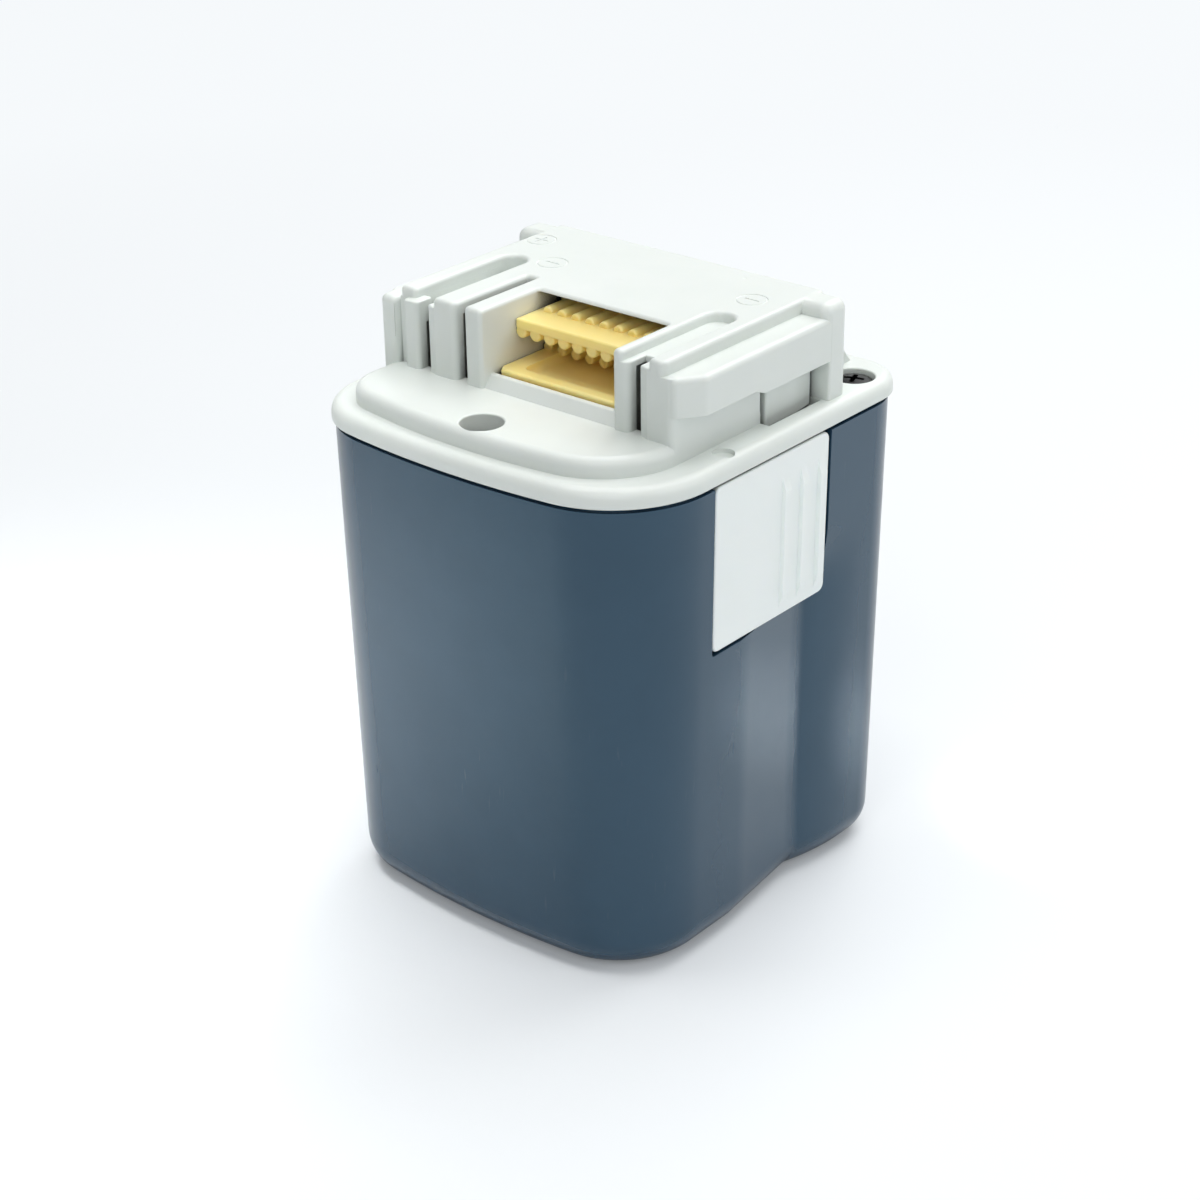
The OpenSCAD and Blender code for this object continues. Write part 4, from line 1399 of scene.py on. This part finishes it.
@dataclass
class ReleaseButton:
    """Button plate with grip ribs, and the arm, stem and latch block behind it."""

    side: Side
    y: Point = (-13.45, 12.05)
    z: Point = (47.0, 71.3)
    face: float = 29.9
    thickness: float = 1.8
    draft: float = 0.9
    corner: float = 1.2
    rib_w: float = 1.5
    rib_h: float = 0.65
    rib_ramp: float = 2.2
    rib_edge: float = 0.12
    rib_y: tuple[float, ...] = (2.0, 6.1, 10.2)
    rib_z: Point = (48.2, 68.1)
    stem_x: Point = (20.8, 23.1)
    stem_y: Point = (2.5, 8.0)
    arm_z: Point = (62.3, 69.3)
    stem_top: float = 83.9
    shutter_y: float = -0.7
    latch_x: float = 25.7
    latch_y: Point = (2.85, 13.75)
    latch_bevel: Point = (0.5, 3.95)
    latch_z: Point = (73.6, 79.8)
    spring_z: float = 81.5
    pin_r: float = 1.2
    pin_l: float = 1.5
    lap: float = 0.4
    edge: float = 0.3
    plate_edge: Point = (0.35, 0.1)
    crest_r: float = 1.0
    latch_r: Point = (0.35, 0.3)
    latch_edge: float = 0.15
    crisp: float = 6.0

    def plate(self) -> bpy.types.Object:
        """Plate that the thumb presses, leaning with the wall.

        Returns:
            The solid.
        """
        outline = box_outline((self.y[0], self.z[0]), (self.y[1], self.z[1]), self.corner)
        plate = prism(outline, self.face - self.thickness, self.face, *self.plate_edge, Axis.X)
        crest, r, half, (low, high) = self.face + self.rib_h, self.crest_r, self.rib_w / 2, self.rib_z
        rib = [(self.face - 1, low), (self.face, low), (crest, low + self.rib_ramp, r)]
        rib += [(crest, high - self.rib_ramp, r), (self.face, high), (self.face - 1, high)]
        for y in self.rib_y:
            bump = prism(rounded(rib), y - half, y + half, self.rib_edge, self.rib_edge, Axis.Y)
            combine(plate, [bump], "UNION")
        slope = math.tan(math.radians(self.draft))
        for point in plate.data.vertices:
            point.co.x -= max(0.0, self.z[1] * MM - point.co.z) * slope
        return plate

    def latch(self) -> bpy.types.Object:
        """Latch block in the window, slanted at its rear end.

        Returns:
            The solid.
        """
        inner, x, (start, end) = self.stem_x[0], self.latch_x, self.latch_y
        (deep, long), (near_r, far_r) = self.latch_bevel, self.latch_r
        outline = [(inner, start), (x, start, near_r), (x, end - long), (x - deep, end, far_r), (inner, end)]
        return prism(rounded(outline), *self.latch_z, self.latch_edge)

    def build(self, finish: bpy.types.Material, latch_finish: bpy.types.Material) -> bpy.types.Object:
        """Joins the plate, arm, stem, shutter and spring pin, and adds the latch block.

        Args:
            finish: Material of the button.
            latch_finish: Material of the latch block.

        Returns:
            The button.
        """
        (x0, x1), (y0, y1) = self.stem_x, self.stem_y
        back = self.face - self.thickness
        middle, e = ((y0 + y1) / 2, self.spring_z), self.edge
        button = joined(
            [
                self.plate(),
                block((x0, y0, self.arm_z[0]), (back + self.lap, y1, self.arm_z[1]), e),
                block((x0, y0, self.arm_z[0]), (x1, y1, self.stem_top), e),
                block((x0, self.shutter_y, self.latch_z[0] + e), (x1, y1, self.latch_z[1] - e), e),
                rod(middle, self.pin_r, x0 - self.pin_l, x0 + 1, Axis.X, e),
            ]
        )
        latch, body = self.latch(), Body.BUTTON_RIGHT
        if self.side is Side.LEFT:
            flipped(button)
            flipped(latch)
            body = Body.BUTTON_LEFT
        node = f"release_button_{self.side.label}"
        name = f"latch_block_{self.side.label}"
        dress(smooth(latch, self.crisp), name, latch_finish, body, "button_plastic")
        return dress(smooth(button), f"thumb_{node}", finish, body, "button_plastic", node)


@dataclass
class LatchSpring:
    """Coil spring between the rib of the cover and the stem of a button."""

    side: Side
    start: float = 13.5
    length: float = 7.3
    centre: Point = (5.25, 81.5)
    radius: float = 1.9
    wire_r: float = 0.25
    turns: int = 5
    travel: float = 2.2
    steps: int = 28
    facets: int = 12

    def build(self, finish: bpy.types.Material) -> bpy.types.Object:
        """Winds the wire.

        Args:
            finish: Material of the wire.

        Returns:
            The piece.
        """
        sign, count = self.side.value, self.turns * self.steps
        pitch = (self.length - 2 * self.wire_r) / count
        rings = []
        for k in range(count + 1):
            t = 2 * math.pi * k / self.steps
            middle = self.start + self.wire_r + pitch * k
            section = arc((self.radius, middle), self.wire_r, 0, 360, self.facets)[:-1]
            c, s = math.cos(t), math.sin(t)
            rings.append([(sign * x, self.centre[0] + r * c, self.centre[1] + r * s) for r, x in section])
        spring = smooth(skin("spring", rings))
        node = f"latch_spring_{self.side.label}"
        dress(spring, f"coil_{node}", finish, Body.PACK, "spring_steel", node)
        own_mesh(spring)
        return spring


@dataclass
class Connector:
    """Yellow connector: tray, block at the back, and comb bar with ridges, teeth and barrels under it."""

    x: Point
    y: Point
    z: Point
    pitch: float = 2.5
    ways: int = 9
    tray_z: float = 79.4
    tray_sunk: float = 1.2
    tray_rim: Point = (3.0, 1.9)
    bar_y: float = -9.8
    bar_z: Point = (83.9, 85.4)
    block_y: float = -0.2
    corner: Point = (0.8, 1.2)
    corner_r: Point = (0.6, 0.4)
    tray_edge: float = 0.35
    dish_r: Point = (1.2, 1.1)
    first_way: float = 0.8
    edge: float = 0.3
    ridge: Point = (0.85, 4.3)
    tooth_r: float = 0.95
    tooth_drop: float = 0.35
    tooth_y: Point = (0.15, 1.95)
    barrel: Place = (0.8, 0.25, 5.6)

    def tray(self) -> bpy.types.Object:
        """Tray with a bevelled front left corner and a sunk floor.

        Returns:
            The solid.
        """
        (x0, x1), (y0, y1) = self.x, self.y
        (left, front), (across, along) = self.tray_rim, self.corner
        (bevel_r, right_r), (dish_r, foot_r) = self.corner_r, self.dish_r
        outer = [(x0 + across, y0, bevel_r), (x1, y0, right_r), (x1, y1), (x0, y1)]
        outer.append((x0, y0 + along, bevel_r))
        tray = prism(rounded(outer), self.z[0], self.tray_z, self.tray_edge)
        sunk = box_outline((x0 + left, y0 + front), (x1 + 2, y1 + 2), dish_r)
        dish = prism(sunk, self.tray_z - self.tray_sunk, self.tray_z + 1, bottom=foot_r)
        return combine(tray, [dish], "DIFFERENCE")

    def comb(self) -> list[bpy.types.Object]:
        """Bar over the tray, and the round bumps of each way.

        Returns:
            The solids.
        """
        (x0, x1), (z0, z1), y, end = self.x, self.bar_z, self.bar_y, self.block_y + 1
        (ridge_r, ridge_y), (near, far) = self.ridge, self.tooth_y
        barrel_r, barrel_rise, barrel_y = self.barrel
        parts = [block((x0, y, z0), (x1, end, z1), self.edge, Axis.X)]
        for k in range(self.ways):
            x = x0 + self.first_way + k * self.pitch
            parts.append(rod((x + self.pitch / 2, z1), ridge_r, y + ridge_y, end, Axis.Y, self.edge))
            parts.append(rod((x, z0 - self.tooth_drop), self.tooth_r, y + near, y + far, Axis.Y, self.edge))
            parts.append(rod((x, self.tray_z + barrel_rise), barrel_r, y + barrel_y, end, Axis.Y, self.edge))
        return parts

    def build(self, finish: bpy.types.Material) -> bpy.types.Object:
        """Joins the tray, the block and the comb.

        Args:
            finish: Material of the connector.

        Returns:
            The piece.
        """
        back = block((self.x[0], self.block_y, self.z[0]), (self.x[1], self.y[1], self.z[1]), 0.2, Axis.X)
        housing = smooth(joined([self.tray(), back, *self.comb()]))
        return dress(housing, "comb_connector", finish, Body.PACK, "connector_yellow", "connector_housing")


@dataclass
class CoverScrews:
    """Pan-head screws with a cross recess, sunk in the cover."""

    places: Sequence[Point]
    seat: float
    tip: float
    head_r: float = 2.7
    head_h: float = 1.4
    crown_h: float = 0.55
    shank_r: float = 1.45
    point: Point = (0.4, 1.2)
    cross: Point = (1.5, 0.36)
    cross_depth: float = 0.9
    turn: float = 20.0

    def screw(self, x: float, y: float) -> bpy.types.Object:
        """One screw with its head on the seat.

        Args:
            x: Middle of the screw across.
            y: Middle of the screw from front to rear.

        Returns:
            The solid.
        """
        top = self.seat + self.head_h
        rise, (point_r, point_l) = self.crown_h, self.point
        crown = [(self.head_r * math.cos(t), top - rise + rise * math.sin(t)) for t in QUARTER[:-1]]
        profile = [(point_r, self.tip), (self.shank_r, self.tip + point_l)]
        profile += [(self.shank_r, self.seat), (self.head_r, self.seat)]
        body = turned([*profile, *crown, (0.02, top)], (x, y))
        bars = []
        long, wide = self.cross
        for angle in (self.turn, self.turn + 90):
            bar = prism(box_outline((-long, -wide), (long, wide), 0.2), top - self.cross_depth, top + 1)
            spin = Matrix.Rotation(math.radians(angle), 4, "Z")
            bar.data.transform(Matrix.Translation((x * MM, y * MM, 0)) @ spin)
            bars.append(bar)
        return combine(body, bars, "DIFFERENCE")

    def build(self, finish: bpy.types.Material) -> bpy.types.Object:
        """Makes the screws as one group.

        Args:
            finish: Material of the screws.

        Returns:
            The piece.
        """
        screws = joined([self.screw(x, y) for x, y in self.places])
        return dress(smooth(screws), "pan_screws", finish, Body.PACK, "screw_black", "cover_screws")


@dataclass(frozen=True)
class Innards:
    """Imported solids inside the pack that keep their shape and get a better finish."""

    finishes: dict[str, tuple[str, ...]]

    def dress(self, materials: dict[str, bpy.types.Material]) -> None:
        """Gives each inner solid its finish.

        Args:
            materials: Materials by name.
        """
        for name, nodes in self.finishes.items():
            for node in nodes:
                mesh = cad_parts[node].data
                mesh.materials.clear()
                mesh.materials.append(materials[name])
                log.info("%s: finished as %s", node, name)


INNARDS = Innards(
    {
        BRASS.name: ("connector_contacts", "terminal_positive", "terminal_negative", "terminal_charge"),
        BOARD.name: ("circuit_board",),
        CHIP_PLASTIC.name: ("control_chip",),
        BEAD.name: ("thermistor",),
        SLEEVED_LEAD.name: ("sensor_lead",),
        CELL_SLEEVE.name: tuple(f"cell_{k}" for k in range(1, 11)),
        NICKEL.name: ("bottom_straps", "stick_joints", "top_straps", "positive_lead", "negative_lead"),
        FIBRE.name: ("bottom_pad", "stick_rings", "top_insulator"),
    }
)


@dataclass(frozen=True)
class Lamp:
    """Square soft light that hangs to one side of the pack and faces a point.

    Attributes:
        name: Name of the light.
        azimuth: Side it hangs on in degrees, 0 in front and 90 on the right.
        reach: Distance from the pack's axis in metres.
        height: Height over the floor in metres.
        size: Side of the square in metres.
        radiance: Brightness of its face.
        aim: Point that it faces, in metres.
        spread: Widest angle of its rays in degrees.
    """

    name: str
    azimuth: float
    reach: float
    height: float
    size: float
    radiance: float
    aim: Place = (0.0, 0.0, 0.05)
    spread: float = 180.0

    def build(self) -> bpy.types.Object:
        """Hangs the light.

        Returns:
            The light's object.
        """
        data = bpy.data.lights.new(self.name, "AREA")
        data.size = self.size
        data.energy = self.radiance * math.pi * self.size**2
        data.spread = math.radians(self.spread)
        lamp = bpy.data.objects.new(self.name, data)
        lamp.location = direction(self.azimuth, 0) * self.reach + Vector((0, 0, self.height))
        lamp.rotation_euler = (lamp.location - Vector(self.aim)).to_track_quat("Z", "Y").to_euler()
        bpy.context.scene.collection.objects.link(lamp)
        return lamp


def direction(azimuth: float, elevation: float) -> Vector:
    """Unit vector towards a side and a height given in degrees."""
    a, e = math.radians(azimuth), math.radians(elevation)
    return Vector((math.sin(a) * math.cos(e), -math.cos(a) * math.cos(e), math.sin(e)))


@dataclass
class Studio:
    """Pale floor, soft lights, white surroundings and the camera."""

    target: Vector
    azimuth: float = 40.031
    elevation: float = 26.561
    roll: float = -0.77
    distance: float = 0.3722
    focal_widths: float = 2.1297
    sensor: float = 36.0
    shift: Point = (-0.00686, 0.01036)
    floor_size: float = 8.0
    floor_colour: Colour = (0.90, 0.93, 0.95)
    backdrop: Colour = (0.930, 0.957, 0.978)
    fade_reach: Point = (0.10, 0.42)
    fade_share: Point = (0.14, 0.95)
    sky: float = 0.06
    sky_colour: Colour = (0.95, 0.98, 1.0)
    lamps: tuple[Lamp, ...] = (
        Lamp("overhead", 180, 0.10, 1.0, 0.9, 2.4),
        Lamp("rear", 180, 0.60, 0.70, 0.6, 3.2),
        Lamp("right", 105, 0.70, 0.45, 0.5, 1.6),
        Lamp("front", 30, 0.70, 0.60, 0.6, 2.0),
        Lamp("left_floor", -45, 0.13, 0.30, 0.10, 1.7, (-0.080, -0.076, 0.0), 44),
        Lamp("right_floor", 141, 0.0922, 0.20, 0.02, 2.5, (0.051, 0.054, 0.0), 10),
    )

    def camera(self) -> None:
        """Sets the camera at the viewing angle of the photograph."""
        data = bpy.data.cameras.new("camera")
        data.sensor_width = self.sensor
        data.lens = self.focal_widths * self.sensor
        data.shift_x, data.shift_y = self.shift
        data.clip_start, data.clip_end = 0.01, 50.0
        back = direction(self.azimuth, self.elevation)
        right = Vector((-back.y, back.x, 0)).normalized()
        up = back.cross(right)
        c, s = math.cos(math.radians(self.roll)), math.sin(math.radians(self.roll))
        across, upright = c * right + s * up, c * up - s * right
        camera = bpy.data.objects.new("camera", data)
        turn = Matrix((across, upright, back)).transposed().to_4x4()
        camera.matrix_world = Matrix.Translation(self.target + back * self.distance) @ turn
        bpy.context.scene.collection.objects.link(camera)
        bpy.context.scene.camera = camera

    def floor(self) -> None:
        """Lays the floor, which keeps the pack's shadow and fades to the backdrop's white farther out."""
        half = self.floor_size / 2 / MM
        corners = [(-half, -half, 0), (half, -half, 0), (half, half, 0), (-half, half, 0)]
        floor = mesh_object("floor", corners, [(0, 1, 2, 3)])
        nodes = Nodes("pale_floor")
        clouds = nodes.remap(nodes.noise(0.004, 2.0), (0.3, 0.7), FULL)
        pale = tuple(min(1.0, c + 0.01) for c in self.floor_colour)
        nodes.link(nodes.tint(clouds, self.floor_colour, pale), nodes.shader.inputs["Base Color"])
        nodes.shader.inputs["Roughness"].default_value = 0.6
        nodes.shader.inputs["Specular IOR Level"].default_value = 0.2
        tree = nodes.tree
        away = tree.nodes.new("ShaderNodeVectorMath")
        away.operation = "LENGTH"
        nodes.link(nodes.where, away.inputs[0])
        share = nodes.remap(away.outputs["Value"], self.fade_reach, self.fade_share)
        seen = tree.nodes.new("ShaderNodeLightPath").outputs["Is Camera Ray"]
        glow = tree.nodes.new("ShaderNodeEmission")
        glow.inputs["Color"].default_value = (*self.backdrop, 1)
        mix = tree.nodes.new("ShaderNodeMixShader")
        nodes.link(nodes.times(share, seen), mix.inputs["Fac"])
        nodes.link(nodes.shader.outputs["BSDF"], mix.inputs[1])
        nodes.link(glow.outputs["Emission"], mix.inputs[2])
        nodes.link(mix.outputs["Shader"], tree.nodes["Material Output"].inputs["Surface"])
        floor.data.materials.append(nodes.material)

    def surroundings(self) -> None:
        """Makes the surroundings white to the camera and in reflections, and softer as a light."""
        world = bpy.data.worlds.new("surroundings")
        bpy.context.scene.world = world
        world.use_nodes = True
        tree = world.node_tree
        sky = tree.nodes["Background"]
        sky.inputs["Color"].default_value = (*self.sky_colour, 1)
        sky.inputs["Strength"].default_value = self.sky
        seen = tree.nodes.new("ShaderNodeBackground")
        seen.inputs["Color"].default_value = (*self.backdrop, 1)
        path = tree.nodes.new("ShaderNodeLightPath")
        mix = tree.nodes.new("ShaderNodeMixShader")
        either = tree.nodes.new("ShaderNodeMath")
        either.operation = "MAXIMUM"
        tree.links.new(path.outputs["Is Camera Ray"], either.inputs[0])
        tree.links.new(path.outputs["Is Glossy Ray"], either.inputs[1])
        tree.links.new(either.outputs["Value"], mix.inputs["Fac"])
        tree.links.new(sky.outputs["Background"], mix.inputs[1])
        tree.links.new(seen.outputs["Background"], mix.inputs[2])
        tree.links.new(mix.outputs["Shader"], tree.nodes["World Output"].inputs["Surface"])

    def build(self) -> None:
        """Sets up the whole studio."""
        self.camera()
        self.floor()
        self.surroundings()
        for lamp in self.lamps:
            lamp.build()
        bpy.context.scene.view_settings.view_transform = "Standard"


def screw_places() -> list[Point]:
    """Middle of each cover screw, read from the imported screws.

    Returns:
        The places in X and Y.
    """
    low, high = node_box("cover_screws")
    head = CoverScrews.head_r
    rear_y = high.y - head
    return [(0.0, low.y + head), (high.x - head, rear_y), (low.x + head, rear_y)]


def main() -> None:
    """Builds every piece in order, then the studio."""
    logging.basicConfig(level=logging.INFO, format="%(name)s %(message)s")
    case_high = node_box("case")[1]
    cover_low, cover_high = node_box("cover")
    plan = CasePlan(case_high.x, case_high.y)
    finishes = (
        CASE_PLASTIC,
        COVER_PLASTIC,
        LATCH_PLASTIC,
        BUTTON_PLASTIC,
        CONNECTOR_PLASTIC,
        CHIP_PLASTIC,
        BEAD,
        SLEEVED_LEAD,
        BLACK_SCREW,
        SPRING_STEEL,
        BRASS,
        NICKEL,
        BOARD,
        CELL_SLEEVE,
        FIBRE,
    )
    materials = {finish.name: finish.material() for finish in finishes}
    screws = screw_places()
    button = ReleaseButton(Side.RIGHT)
    notch_y = (button.y[0] - NOTCH_GAP, button.y[1] + NOTCH_GAP)
    tub = CaseTub(plan, case_high.z, notch_y, button.z[0] - NOTCH_GAP)
    tub.build(materials[CASE_PLASTIC.name])
    cover = Cover(plan, cover_low.z, cover_high.z, screws)
    cover.build(materials[COVER_PLASTIC.name])
    for side in Side:
        ReleaseButton(side).build(materials[BUTTON_PLASTIC.name], materials[LATCH_PLASTIC.name])
        LatchSpring(side).build(materials[SPRING_STEEL.name])
    low, high = node_box("connector_housing")
    Connector((low.x, high.x), (low.y, high.y), (low.z, high.z)).build(materials[CONNECTOR_PLASTIC.name])
    tip = node_box("cover_screws")[0].z
    CoverScrews(screws, cover_low.z + cover.seat_drop, tip).build(materials[BLACK_SCREW.name])
    INNARDS.dress(materials)
    Studio(Vector(VIEW_AIM)).build()


if __name__ == "__main__":
    main()
